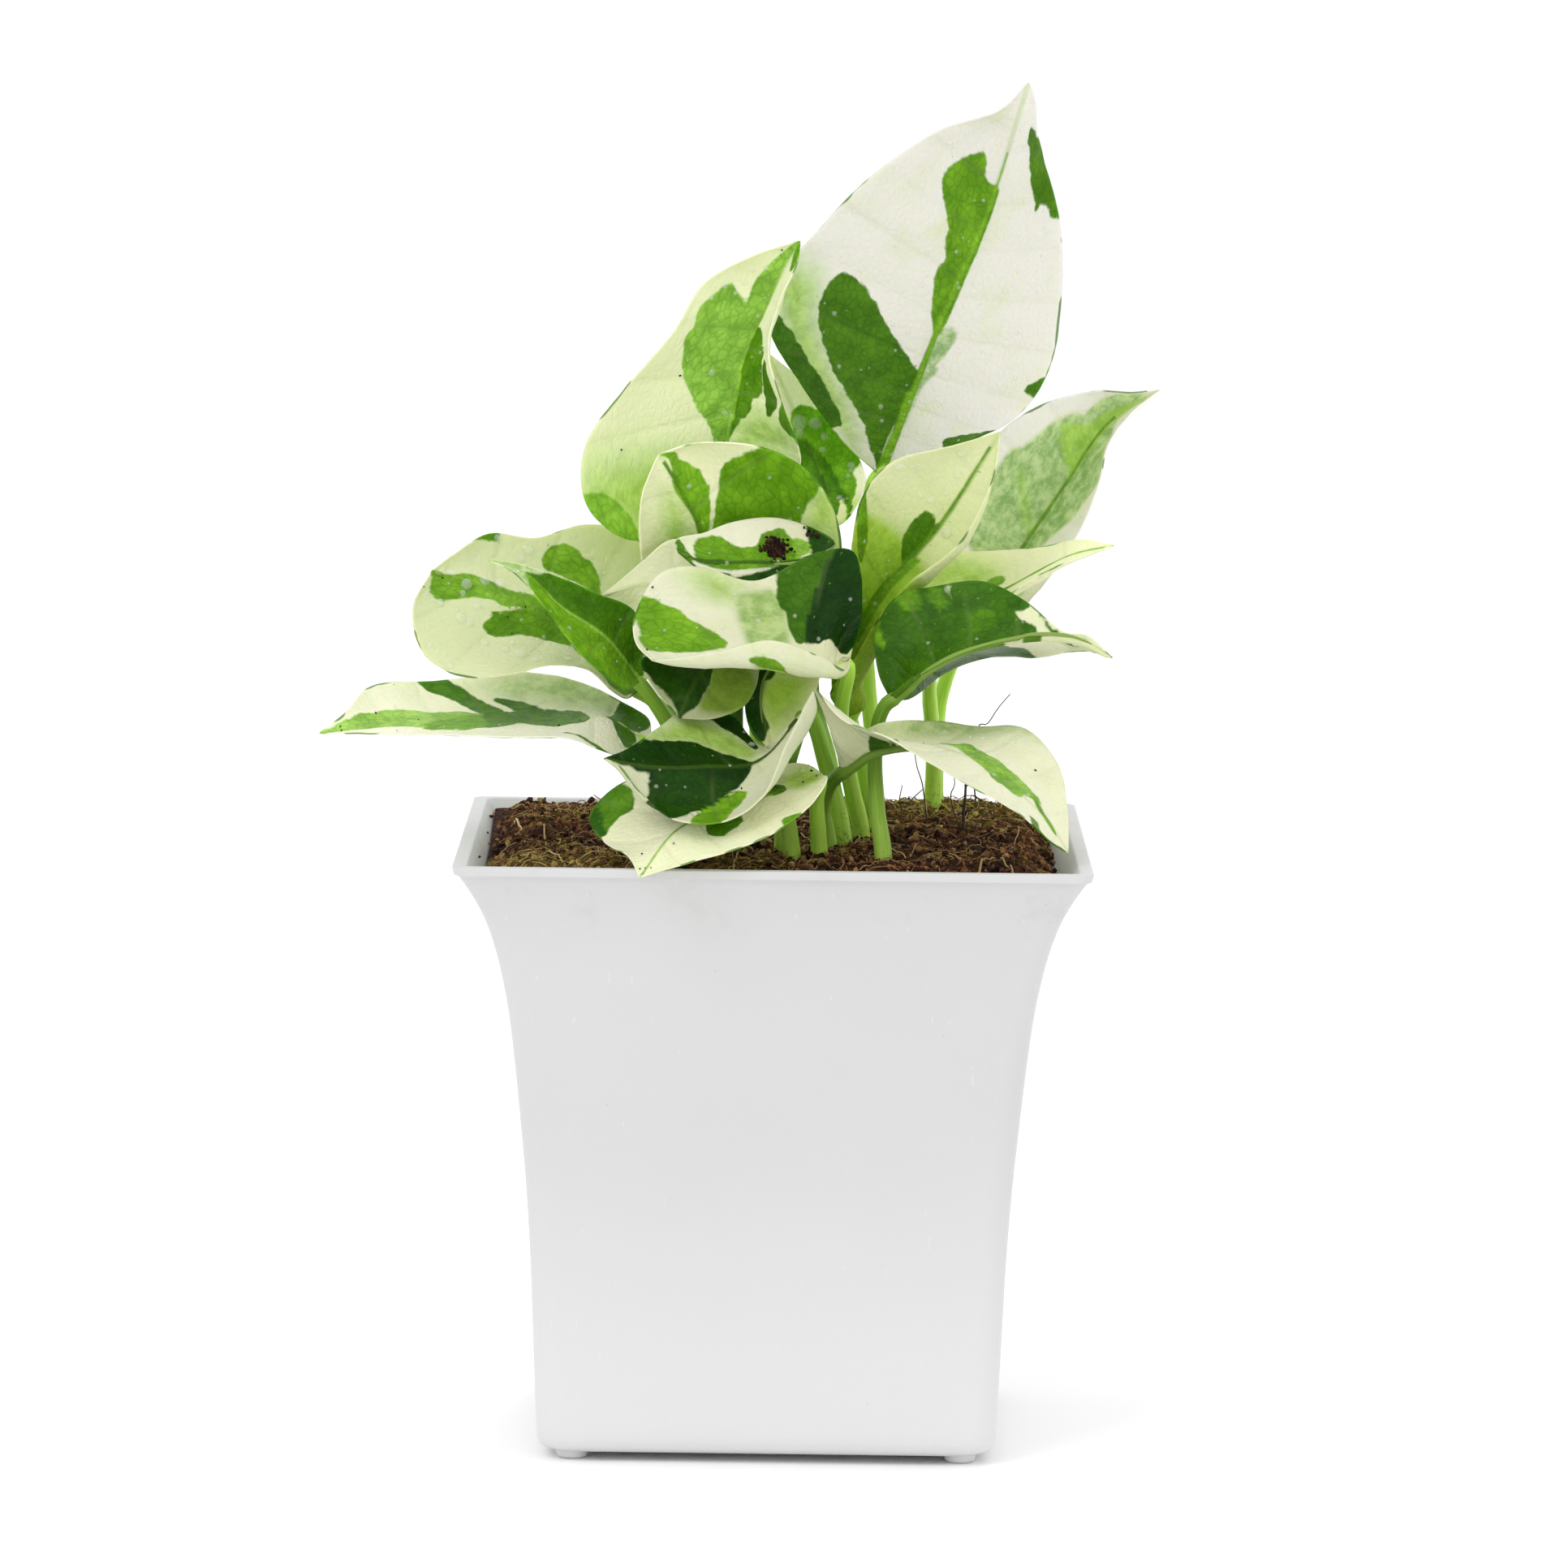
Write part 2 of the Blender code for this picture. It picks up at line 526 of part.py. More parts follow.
def make_pot():
    rings = []
    for height, half in POT_OUTSIDE:
        rings.append(rounded_square(half, at_height(POT_CORNERS, height), height))
    for height in reversed(INSIDE_LEVELS):
        corner = max(TIGHTEST_CORNER, at_height(POT_CORNERS, height) - WALL)
        rings.append(rounded_square(inside_half(height), corner, height))
    for drawn_in, corner, rise in FLOOR_EDGE:
        rings.append(rounded_square(inside_half(FLOOR_TOP) - drawn_in, corner, FLOOR_TOP + rise))

    # The underside is one face, and each ring is drawn on from the one before it
    bm = bmesh.new()
    face = bm.faces.new([bm.verts.new(point) for point in rings[0]])
    verts = list(face.verts)
    for ring in rings[1:]:
        after = [bm.verts.new(point) for point in ring]
        for corner in range(len(ring)):
            following = (corner + 1) % len(ring)
            bm.faces.new((verts[corner], verts[following], after[following], after[corner]))
        verts = after
    bm.faces.new(verts)
    bmesh.ops.recalc_face_normals(bm, faces=bm.faces)
    pot = add_object("pot", mesh_from("pot", bm), POT_COLOUR, 0.4)

    # Four feet under the corners and a low moulding boss in the middle, all level
    spots = [(x * FOOT_OFFSET, y * FOOT_OFFSET, FOOT_RADIUS) for x in (-1, 1) for y in (-1, 1)]
    spots.append((0.0, 0.0, BOSS_RADIUS))
    depth = FOOT_HEIGHT + ROOT
    for x, y, radius in spots:
        bpy.ops.mesh.primitive_cone_add(
            vertices=FOOT_SIDES,
            radius1=radius * MM,
            radius2=(radius + FOOT_SPREAD) * MM,
            depth=depth * MM,
            location=(x * MM, y * MM, depth / 2 * MM),
        )
        apply_boolean(pot, bpy.context.active_object, "UNION")


# Potting mix

def mix_height(x, y):
    """Height of the mix away from the walls: it rises to the back right, with low lumps."""
    rise = MIX_SLOPE * (y - MIX_SLOPE_START)
    mound = MOUND_HEIGHT * math.exp(-((x - MOUND_X) ** 2 + (y - MOUND_Y) ** 2) / MOUND_SPREAD)
    broad = BROAD_LUMP * math.sin(BROAD_WAVES[0] * x + BROAD_SHIFT) * math.sin(BROAD_WAVES[1] * y)
    slanted = SLANTED_LUMP * math.sin(SLANTED_WAVES[0] * x - SLANTED_WAVES[1] * y)
    return MIX_LEVEL + rise + mound + broad + slanted


def edge_height(across, along):
    """Height of the mix at the wall: lowest on the right and at the front, highest at the back."""
    sideways = EDGE_DROP_RIGHT * max(across, 0.0)
    endways = EDGE_DROP_FRONT * max(-along, 0.0) - EDGE_RISE_BACK * max(along, 0.0)
    return EDGE_LEVEL - sideways - endways


def mix_half(height):
    return inside_half(height) - MIX_GAP - at_height(MIX_DRAWN_IN, height)


def round_corner(x, y, half):
    """Pulls a point on a square's outline in to the rounded corner."""
    inner = half - MIX_CORNER
    if abs(x) <= inner or abs(y) <= inner:
        return x, y
    over_x = abs(x) - inner
    over_y = abs(y) - inner
    scale = MIX_CORNER / math.hypot(over_x, over_y)
    return math.copysign(inner + over_x * scale, x), math.copysign(inner + over_y * scale, y)


def mix_point(u, v):
    """A point of the top surface. u and v run from -1 to 1 across the pot."""
    reach = max(abs(u), abs(v), 1e-9)
    across, along = u / reach, v / reach
    rim = edge_height(across, along)
    half = mix_half(rim)
    x, y = round_corner(across * half, along * half, half)
    x, y = x * reach, y * reach
    blend = min(1.0, (1.0 - reach) / EDGE_BLEND)
    blend = blend * blend * (3.0 - 2.0 * blend)
    return x, y, rim + (mix_height(x, y) - rim) * blend


def make_mix():
    bm = bmesh.new()
    bmesh.ops.create_grid(bm, x_segments=MIX_CELLS, y_segments=MIX_CELLS, size=1.0)
    for vert in bm.verts:
        vert.co = mix_point(vert.co.x, vert.co.y)
    bmesh.ops.triangulate(bm, faces=bm.faces)

    # The edge is drawn down the wall from level to level, and the floor closes it
    for height in MIX_LEVELS:
        edges = [edge for edge in bm.edges if edge.is_boundary]
        drawn = bmesh.ops.extrude_edge_only(bm, edges=edges)
        for vert in drawn["geom"]:
            if isinstance(vert, bmesh.types.BMVert):
                scale = mix_half(height) / mix_half(vert.co.z)
                vert.co = (vert.co.x * scale, vert.co.y * scale, height)
    bmesh.ops.holes_fill(bm, edges=[edge for edge in bm.edges if edge.is_boundary])
    bmesh.ops.recalc_face_normals(bm, faces=bm.faces)
    mix = add_object("potting_mix", mesh_from("potting_mix", bm), MIX_COLOUR, 0.95)

    for path in STALKS.values():
        x, y = path[0]
        depth = 2.0 * HOLE_DEPTH
        bpy.ops.mesh.primitive_cylinder_add(
            vertices=HOLE_SIDES,
            radius=(STALK_FOOT_RADIUS + HOLE_GAP) * MM,
            depth=depth * MM,
            location=(x * MM, y * MM, mix_height(x, y) * MM),
        )
        apply_boolean(mix, bpy.context.active_object, "DIFFERENCE")


clear_scene()
make_pot()
make_mix()
for leaf_name, leaf_shape in LEAVES.items():
    make_blade(leaf_name, leaf_shape)
for stalk_name, stalk_path in STALKS.items():
    make_stalk(stalk_name, stalk_path)
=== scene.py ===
import math
import random
from types import SimpleNamespace

import bpy
import numpy as np
from mathutils import Matrix, Vector, noise


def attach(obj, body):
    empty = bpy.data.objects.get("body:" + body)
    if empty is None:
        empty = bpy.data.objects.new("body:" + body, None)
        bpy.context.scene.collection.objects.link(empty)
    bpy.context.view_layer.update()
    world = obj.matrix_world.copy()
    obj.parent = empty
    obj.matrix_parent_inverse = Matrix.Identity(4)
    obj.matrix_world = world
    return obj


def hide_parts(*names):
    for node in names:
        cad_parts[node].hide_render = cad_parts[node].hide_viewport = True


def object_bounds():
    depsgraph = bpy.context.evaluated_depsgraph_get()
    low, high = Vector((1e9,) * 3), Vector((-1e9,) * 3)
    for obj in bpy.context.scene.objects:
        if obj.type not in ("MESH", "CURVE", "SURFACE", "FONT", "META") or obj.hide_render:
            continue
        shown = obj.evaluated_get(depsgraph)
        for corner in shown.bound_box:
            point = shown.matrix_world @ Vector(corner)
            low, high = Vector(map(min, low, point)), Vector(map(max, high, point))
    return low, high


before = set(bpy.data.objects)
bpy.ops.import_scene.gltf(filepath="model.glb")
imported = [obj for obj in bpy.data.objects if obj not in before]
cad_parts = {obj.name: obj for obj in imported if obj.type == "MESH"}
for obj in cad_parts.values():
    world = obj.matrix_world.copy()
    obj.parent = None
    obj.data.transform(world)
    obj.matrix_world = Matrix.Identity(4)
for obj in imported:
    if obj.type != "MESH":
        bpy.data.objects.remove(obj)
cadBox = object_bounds()
mm = 0.001   # shapes are given in millimetres
print("frame loaded")


# Helpers for working in Blender

def leaveEditing():
    bpy.ops.object.mode_set(mode="OBJECT")


def deselectAll():
    if bpy.context.object and bpy.context.object.mode != "OBJECT":
        leaveEditing()
    bpy.ops.object.select_all(action="DESELECT")


def makeActive(piece):
    deselectAll()
    piece.select_set(True)
    bpy.context.view_layer.objects.active = piece


def editPiece(piece, selectMode="VERT"):
    makeActive(piece)
    bpy.ops.object.mode_set(mode="EDIT")
    bpy.ops.mesh.select_mode(type=selectMode)


def applyModifier(piece, kind, **settings):
    makeActive(piece)
    modifier = piece.modifiers.new(kind.lower(), kind)
    for name, value in settings.items():
        setattr(modifier, name, value)
    bpy.ops.object.modifier_apply(modifier=modifier.name)


def nameActive(name):
    piece = bpy.context.active_object
    piece.name = name
    piece.data.name = name
    return piece


def readPoints(piece):
    flat = np.zeros(len(piece.data.vertices) * 3)
    piece.data.vertices.foreach_get("co", flat)
    return flat.reshape(-1, 3)


def writePoints(piece, points):
    piece.data.vertices.foreach_set("co", np.asarray(points, float).ravel())
    piece.data.update()


def addNumbers(piece, name, values):
    layer = piece.data.attributes.new(name, "FLOAT", "POINT")
    layer.data.foreach_set("value", np.asarray(values, float).ravel())


def addVectors(piece, name, values):
    layer = piece.data.attributes.new(name, "FLOAT_VECTOR", "POINT")
    layer.data.foreach_set("vector", np.asarray(values, float).ravel())


def smoothAll(piece):
    makeActive(piece)
    bpy.ops.object.shade_smooth()


def turnFacesOut():
    bpy.ops.mesh.select_all(action="SELECT")
    bpy.ops.mesh.normals_make_consistent(inside=False)


def settle(piece, material, nodes=()):
    # the piece takes its finish, rides on the one body and stands for its CAD nodes
    piece.data.materials.clear()
    piece.data.materials.append(material)
    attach(piece, "root")
    if nodes:
        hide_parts(*nodes)


# Helpers for materials

def colour(red, green, blue):
    # a colour as a paint program shows it, 0 to 255, in the linear values that nodes work in
    linear = []
    for value in (red, green, blue):
        value = value / 255
        linear.append(value / 12.92 if value <= 0.04045 else ((value + 0.055) / 1.055) ** 2.4)
    return (*linear, 1.0)


def newMaterial(name, **sockets):
    material = bpy.data.materials.new(name)
    material.use_nodes = True
    shader = material.node_tree.nodes["Principled BSDF"]
    dress(shader, **sockets)
    return material, shader


def dress(shader, **sockets):
    for name, value in sockets.items():
        plug(value, shader.inputs[name.replace("_", " ")])


def addNode(kind, inputs, tree=None, **settings):
    # each input is a number, a vector, a colour or the output of another node, beside which the new one goes
    tree = tree or next(value.id_data for value in inputs.values() if isinstance(value, bpy.types.NodeSocket))
    node = tree.nodes.new("ShaderNode" + kind)
    for name, value in settings.items():
        setattr(node, name, value)
    for name, value in inputs.items():
        plug(value, node.inputs[name])
    return node


def plug(value, socket):
    if isinstance(value, bpy.types.NodeSocket):
        value.id_data.links.new(value, socket)
    else:
        socket.default_value = value


def objectPlace(material):
    return addNode("TexCoord", {}, material.node_tree).outputs["Object"]


def numberOf(material, name):
    return addNode("Attribute", {}, material.node_tree, attribute_name=name).outputs["Fac"]


def vectorOf(material, name):
    return addNode("Attribute", {}, material.node_tree, attribute_name=name).outputs["Vector"]


def stretch(vector, scale):
    return addNode("Mapping", {"Vector": vector, "Scale": scale}).outputs["Vector"]


def noiseOf(vector, scale, detail=3.0, roughness=0.55):
    inputs = {"Vector": vector, "Scale": scale, "Detail": detail, "Roughness": roughness}
    return addNode("TexNoise", inputs).outputs["Fac"]


def mathOf(operation, first, second=0.0):
    return addNode("Math", {0: first, 1: second}, operation=operation).outputs[0]


def product(first, second):
    return mathOf("MULTIPLY", first, second)


def total(first, second):
    return mathOf("ADD", first, second)


def halfEach(first, second):
    return total(product(first, 0.5), product(second, 0.5))


def fade(value, low, high, fromLow=0.0, toHigh=1.0):
    # turns low..high into fromLow..toHigh with soft ends
    inputs = {"Value": value, "From Min": low, "From Max": high, "To Min": fromLow, "To Max": toHigh}
    return addNode("MapRange", inputs, interpolation_type="SMOOTHSTEP").outputs["Result"]


def blendColours(share, first, second, mode="MIX"):
    inputs = {0: share, 6: first, 7: second}
    return addNode("Mix", inputs, data_type="RGBA", blend_type=mode).outputs[2]


def tinted(body, tint):
    return blendColours(1.0, body, tint, "MULTIPLY")


def colourRamp(value, stops):
    # each stop is a place, 0 to 1, and a colour, 0 to 255
    node = addNode("ValToRGB", {"Fac": value})
    ramp = node.color_ramp
    while len(ramp.elements) < len(stops):
        ramp.elements.new(0.5)
    for element, (position, *shade) in zip(ramp.elements, stops):
        element.position = position
        element.color = colour(*shade)
    return node.outputs["Color"]


def bumpOf(height, distance, strength=1.0, before=None):
    inputs = {"Height": height, "Distance": distance, "Strength": strength}
    if before:
        inputs["Normal"] = before
    return addNode("Bump", inputs).outputs["Normal"]


# Smooth curves through a few points, in millimetres

def smoothPath(points, steps=24):
    known = np.array(points, float)
    ends = np.vstack([2 * known[0] - known[1], known, 2 * known[-1] - known[-2]])
    curve = []
    for index in range(len(known) - 1):
        before, start, stop, after = ends[index:index + 4]
        gapBefore = np.linalg.norm(start - before) ** 0.5
        gap = np.linalg.norm(stop - start) ** 0.5
        gapAfter = np.linalg.norm(after - stop) ** 0.5
        leave = (start - before) / gapBefore - (stop - before) / (gapBefore + gap) + (stop - start) / gap
        arrive = (stop - start) / gap - (after - start) / (gap + gapAfter) + (after - stop) / gapAfter
        for step in range(steps):
            t = step / steps
            curve.append(
                (2 * t ** 3 - 3 * t ** 2 + 1) * start
                + (t ** 3 - 2 * t ** 2 + t) * leave * gap
                + (3 * t ** 2 - 2 * t ** 3) * stop
                + (t ** 3 - t ** 2) * arrive * gap
            )
    curve.append(known[-1])
    return np.array(curve)


def pathLength(points):
    return float(np.linalg.norm(np.diff(smoothPath(points), axis=0), axis=1).sum())


def alongPath(points, shares):
    curve = smoothPath(points)
    distance = np.concatenate([[0.0], np.cumsum(np.linalg.norm(np.diff(curve, axis=0), axis=1))])
    distance = distance / distance[-1]
    return np.stack([np.interp(shares, distance, curve[:, axis]) for axis in range(3)], axis=1)


def tubeAround(centres, radii, sides, groove=0.0):
    # rings round a line of centres, the frame carried along without twist: points and faces of a closed tube
    centres = np.asarray(centres, float)
    tangents = np.gradient(centres, axis=0)
    tangents /= np.linalg.norm(tangents, axis=1)[:, None]
    side = np.cross(tangents[0], (0.3, 1.0, 0.2))
    side /= np.linalg.norm(side)
    points = []
    for centre, tangent, radius in zip(centres, tangents, radii):
        side = side - tangent * np.dot(side, tangent)
        side /= np.linalg.norm(side)
        other = np.cross(tangent, side)
        for step in range(sides):
            angle = 2 * math.pi * step / sides
            reach = radius * (1 - groove * max(0.0, math.cos(angle)) ** 8)
            points.append(centre + reach * (math.cos(angle) * side + math.sin(angle) * other))
    faces = []
    for ring in range(len(centres) - 1):
        for step in range(sides):
            after = (step + 1) % sides
            low, high = ring * sides, (ring + 1) * sides
            faces.append((low + step, low + after, high + after, high + step))
    last = (len(centres) - 1) * sides
    faces.append(tuple(reversed(range(sides))))
    faces.append(tuple(range(last, last + sides)))
    return np.array(points), faces


def pieceOf(name, parts, **numbers):
    # one mesh from many (points in mm, faces) pairs, with numbers of which each pair has its own
    points, faces, count = [], [], 0
    for somePoints, someFaces in parts:
        points.append(somePoints)
        faces += [tuple(corner + count for corner in face) for face in someFaces]
        count += len(somePoints)
    mesh = bpy.data.meshes.new(name)
    mesh.from_pydata((np.vstack(points) * mm).tolist(), [], faces)
    mesh.validate()
    piece = bpy.data.objects.new(name, mesh)
    bpy.context.scene.collection.objects.link(piece)
    for label, values in numbers.items():
        addNumbers(piece, label, np.repeat(values, [len(somePoints) for somePoints in points]))
    return piece


# Camera, floor and light

studio = {
    "lens": 203.6, "distance": 1.483, "elevation": 6.32, "roll": 0.73, "aim": (0.0016, 0.0, 0.1085),
    "sensorWidth": 36.0, "nearest": 0.05, "farthest": 100.0, "skyStrength": 1.02, "floorSize": 40.0,
    # place, size in metres, power in watts. They all look at one point
    "lightAim": (0.0, 0.0, 0.12),
    "lights": {
        "keyLight": ((-0.9, -1.3, 1.5), 0.9, 9.0),
        "fillLight": ((1.5, -0.9, 0.8), 1.2, 2.0),
        "backLight": ((0.5, 1.5, 1.3), 0.9, 3.0),
    },
}


def addCamera():
    tilt, roll = math.radians(studio["elevation"]), math.radians(studio["roll"])
    forward = Vector((0.0, math.cos(tilt), -math.sin(tilt)))
    level = Vector((1.0, 0.0, 0.0))
    upright = Vector((0.0, math.sin(tilt), math.cos(tilt)))
    right = level * math.cos(roll) + upright * math.sin(roll)
    up = upright * math.cos(roll) - level * math.sin(roll)
    bpy.ops.object.camera_add(location=Vector(studio["aim"]) - forward * studio["distance"])
    camera = bpy.context.active_object
    camera.name = "photoCamera"
    camera.rotation_mode = "QUATERNION"
    turn = np.array([right, up, -forward]).T
    camera.rotation_quaternion = Matrix(turn.tolist()).to_quaternion()
    camera.data.lens = studio["lens"]
    camera.data.sensor_width = studio["sensorWidth"]
    camera.data.clip_start = studio["nearest"]
    camera.data.clip_end = studio["farthest"]
    bpy.context.scene.camera = camera


def addStudio():
    deselectAll()
    bpy.ops.mesh.primitive_plane_add(size=studio["floorSize"])
    floor = nameActive("studioFloor")
    material, shader = newMaterial("paleFloor", Roughness=0.9)
    grain = noiseOf(objectPlace(material), 40.0, 2.0)
    pale = blendColours(grain, colour(253, 253, 253), colour(255, 255, 255))
    dress(shader, Base_Color=pale)
    floor.data.materials.append(material)
    for name, (place, size, power) in studio["lights"].items():
        bpy.ops.object.light_add(type="AREA", location=place)
        light = bpy.context.active_object
        light.name = name
        light.data.size = size
        light.data.energy = power
        aim = Vector(studio["lightAim"]) - Vector(place)
        light.rotation_euler = aim.to_track_quat("-Z", "Y").to_euler()
    world = bpy.data.worlds.new("softSky")
    world.use_nodes = True
    sky = world.node_tree.nodes["Background"]
    sky.inputs["Color"].default_value = (1.0, 1.0, 1.0, 1.0)
    sky.inputs["Strength"].default_value = studio["skyStrength"]
    bpy.context.scene.world = world
    bpy.context.scene.view_settings.view_transform = "Standard"


addCamera()
addStudio()
print("camera, floor and lights ready")


# Pot: a moulded square planter, flared under a thin rim, on four small feet

pot = {
    # height and half width of the outside
    "outside": [
        (2.2, 37.0), (3.7, 37.7), (8.5, 38.0), (20.0, 38.5), (32.0, 39.0), (45.0, 39.8), (56.0, 40.8),
        (66.0, 41.8), (75.0, 42.9), (82.0, 44.2), (87.0, 45.5), (91.0, 46.9), (95.0, 48.9), (98.2, 50.9),
    ],
    "rim": [(98.6, 51.7), (100.0, 52.0)],
    "base": (1.5, 35.6),
    "corners": [(0.0, 4.5), (60.0, 4.0), (92.0, 3.2), (100.0, 2.4)],   # corner radius at each height
    "insideLevels": [10.0, 30.0, 50.0, 66.0, 75.0, 82.0, 87.0, 91.0, 95.0, 98.0, 100.0],
    "floorRound": [(1.5, 0.4), (0.0, 1.8)],   # height above the floor, and how far in from the wall
    "wall": 2.3, "floorTop": 4.0, "insideCorner": 1.2, "cornerSteps": 7, "rimRound": 0.3, "smoothAngle": 40.0,
    "footHeight": 1.5, "footRadius": 2.5, "footOffset": 32.0, "bossRadius": 5.0,
    "footInBase": 0.8, "footFlare": 0.3, "footRound": 0.6,
}


def readTable(table, height):
    return float(np.interp(height, [row[0] for row in table], [row[1] for row in table]))


def insideHalf(height):
    outside = [pot["base"]] + pot["outside"] + pot["rim"]
    wall = [(level, readTable(outside, level) - pot["wall"]) for level in pot["insideLevels"]]
    return readTable(wall, height)


def addRing(half, radius, height):
    # a square with rounded corners, as bare edges
    bpy.ops.mesh.primitive_plane_add(size=2 * half * mm, location=(0, 0, height * mm))
    bpy.ops.mesh.bevel(offset=radius * mm, segments=pot["cornerSteps"], affect="VERTICES")
    bpy.ops.mesh.delete(type="ONLY_FACE")


def selectLevel(piece, height):
    # the points at one height, and the edges and faces between them
    bpy.ops.mesh.select_all(action="DESELECT")
    leaveEditing()
    for vert in piece.data.vertices:
        vert.select = abs(vert.co.z - height * mm) < 1e-5
    for part in [*piece.data.edges, *piece.data.polygons]:
        part.select = all(piece.data.vertices[index].select for index in part.vertices)
    bpy.ops.object.mode_set(mode="EDIT")


def addOutside():
    # rings from the base to the rim, joined by bridges
    profile = smoothPath([(half, 0.0, height) for height, half in pot["outside"]], 3)
    rings = [pot["base"][::-1]] + [(point[0], point[2]) for point in profile]
    for half, height in rings + [row[::-1] for row in pot["rim"]]:
        addRing(half, readTable(pot["corners"], height), height)
    bpy.ops.mesh.select_all(action="SELECT")
    bpy.ops.mesh.bridge_edge_loops()


def openMouth(piece):
    # the underside and the rim's flat top, then the inner wall drawn down to the floor
    height, half = pot["rim"][-1]
    for level in (pot["base"][0], height):
        selectLevel(piece, level)
        bpy.ops.mesh.edge_face_add()
    bpy.ops.mesh.select_mode(type="FACE")
    bpy.ops.mesh.inset(thickness=pot["insideCorner"] * mm)
    half -= pot["insideCorner"]
    levels = [(level, insideHalf(level)) for level in reversed(pot["insideLevels"])]
    floor = pot["floorTop"]
    levels += [(floor + rise, insideHalf(floor) - inward) for rise, inward in pot["floorRound"]]
    for nextHeight, nextHalf in levels:
        drop = (0.0, 0.0, (nextHeight - height) * mm)
        bpy.ops.mesh.extrude_region_move(TRANSFORM_OT_translate={"value": drop})
        bpy.ops.transform.resize(value=(nextHalf / half, nextHalf / half, 1.0))
        height, half = nextHeight, nextHalf
    turnFacesOut()
    bpy.ops.mesh.select_mode(type="FACE")
    selectLevel(piece, pot["rim"][-1][0])
    bpy.ops.mesh.region_to_loop()
    bpy.ops.mesh.bevel(offset=pot["rimRound"] * mm, segments=3, affect="EDGES")
    leaveEditing()


def addFeet(piece):
    # four feet and a low moulding boss
    out, depth = pot["footOffset"], pot["footHeight"] + pot["footInBase"]
    spots = [(x * out, y * out, pot["footRadius"]) for x in (-1, 1) for y in (-1, 1)]
    for x, y, radius in spots + [(0.0, 0.0, pot["bossRadius"])]:
        deselectAll()
        bpy.ops.mesh.primitive_cone_add(
            vertices=40, radius1=radius * mm, radius2=(radius + pot["footFlare"]) * mm, depth=depth * mm,
            location=(x * mm, y * mm, depth / 2 * mm))
        foot = nameActive("potFoot")
        editPiece(foot, "EDGE")
        selectLevel(foot, -depth / 2)
        bpy.ops.mesh.bevel(offset=pot["footRound"] * mm, segments=4, affect="EDGES")
        leaveEditing()
        applyModifier(piece, "BOOLEAN", object=foot, operation="UNION", solver="EXACT")
        bpy.data.objects.remove(foot, do_unlink=True)


def makePot():
    deselectAll()
    bpy.ops.mesh.primitive_plane_add(size=1.0)
    piece = nameActive("squarePot")
    editPiece(piece)
    bpy.ops.mesh.delete(type="VERT")
    addOutside()
    openMouth(piece)
    addFeet(piece)
    makeActive(piece)
    bpy.ops.object.shade_smooth_by_angle(angle=math.radians(pot["smoothAngle"]))
    return piece


def makePlastic():
    material, shader = newMaterial("whitePlastic", IOR=1.47, Specular_IOR_Level=0.4)
    place = objectPlace(material)
    cloudy = noiseOf(place, 22.0, 3.0)
    body = blendColours(cloudy, colour(202, 202, 202), colour(208, 208, 208))

    # grey rubbing under the rim, and painted light: the wall lighter towards the base
    height = addNode("SeparateXYZ", {"Vector": place}).outputs["Z"]
    # painted light: a paler band towards the base of the wall
    body = blendColours(fade(height, 0.0, 0.06, 0.7, 0.0), body, colour(222, 222, 222))
    smudge = fade(noiseOf(place, 95.0, 5.0, 0.7), 0.54, 0.74)
    smudge = product(product(smudge, fade(height, 0.080, 0.094)), 0.14)
    body = blendColours(smudge, body, colour(168, 168, 162))
    fleck = fade(noiseOf(stretch(place, (1.0, 1.0, 0.25)), 900.0, 2.0), 0.70, 0.76)
    body = blendColours(product(fleck, 0.2), body, colour(232, 232, 232))
    speck = fade(noiseOf(place, 620.0, 1.0), 0.80, 0.84)
    body = blendColours(product(speck, 0.30), body, colour(160, 156, 146))

    # satin with faint sideways scuffs
    scuff = noiseOf(stretch(place, (60.0, 60.0, 900.0)), 1.0, 4.0, 0.6)
    gloss = fade(halfEach(cloudy, scuff), 0.3, 0.7, 0.33, 0.50)
    fine = noiseOf(place, 1500.0, 2.0)
    wave = noiseOf(stretch(place, (30.0, 30.0, 14.0)), 1.0, 2.0)
    normal = bumpOf(wave, 0.0006, 0.5, bumpOf(fine, 0.00002, 0.6))
    dress(shader, Base_Color=body, Roughness=gloss, Normal=normal)
    return material


settle(makePot(), makePlastic(), ["pot"])
print("pot ready")


# Potting mix: a crumbly block of coir, with crumbs, fibres and pale roots on its top

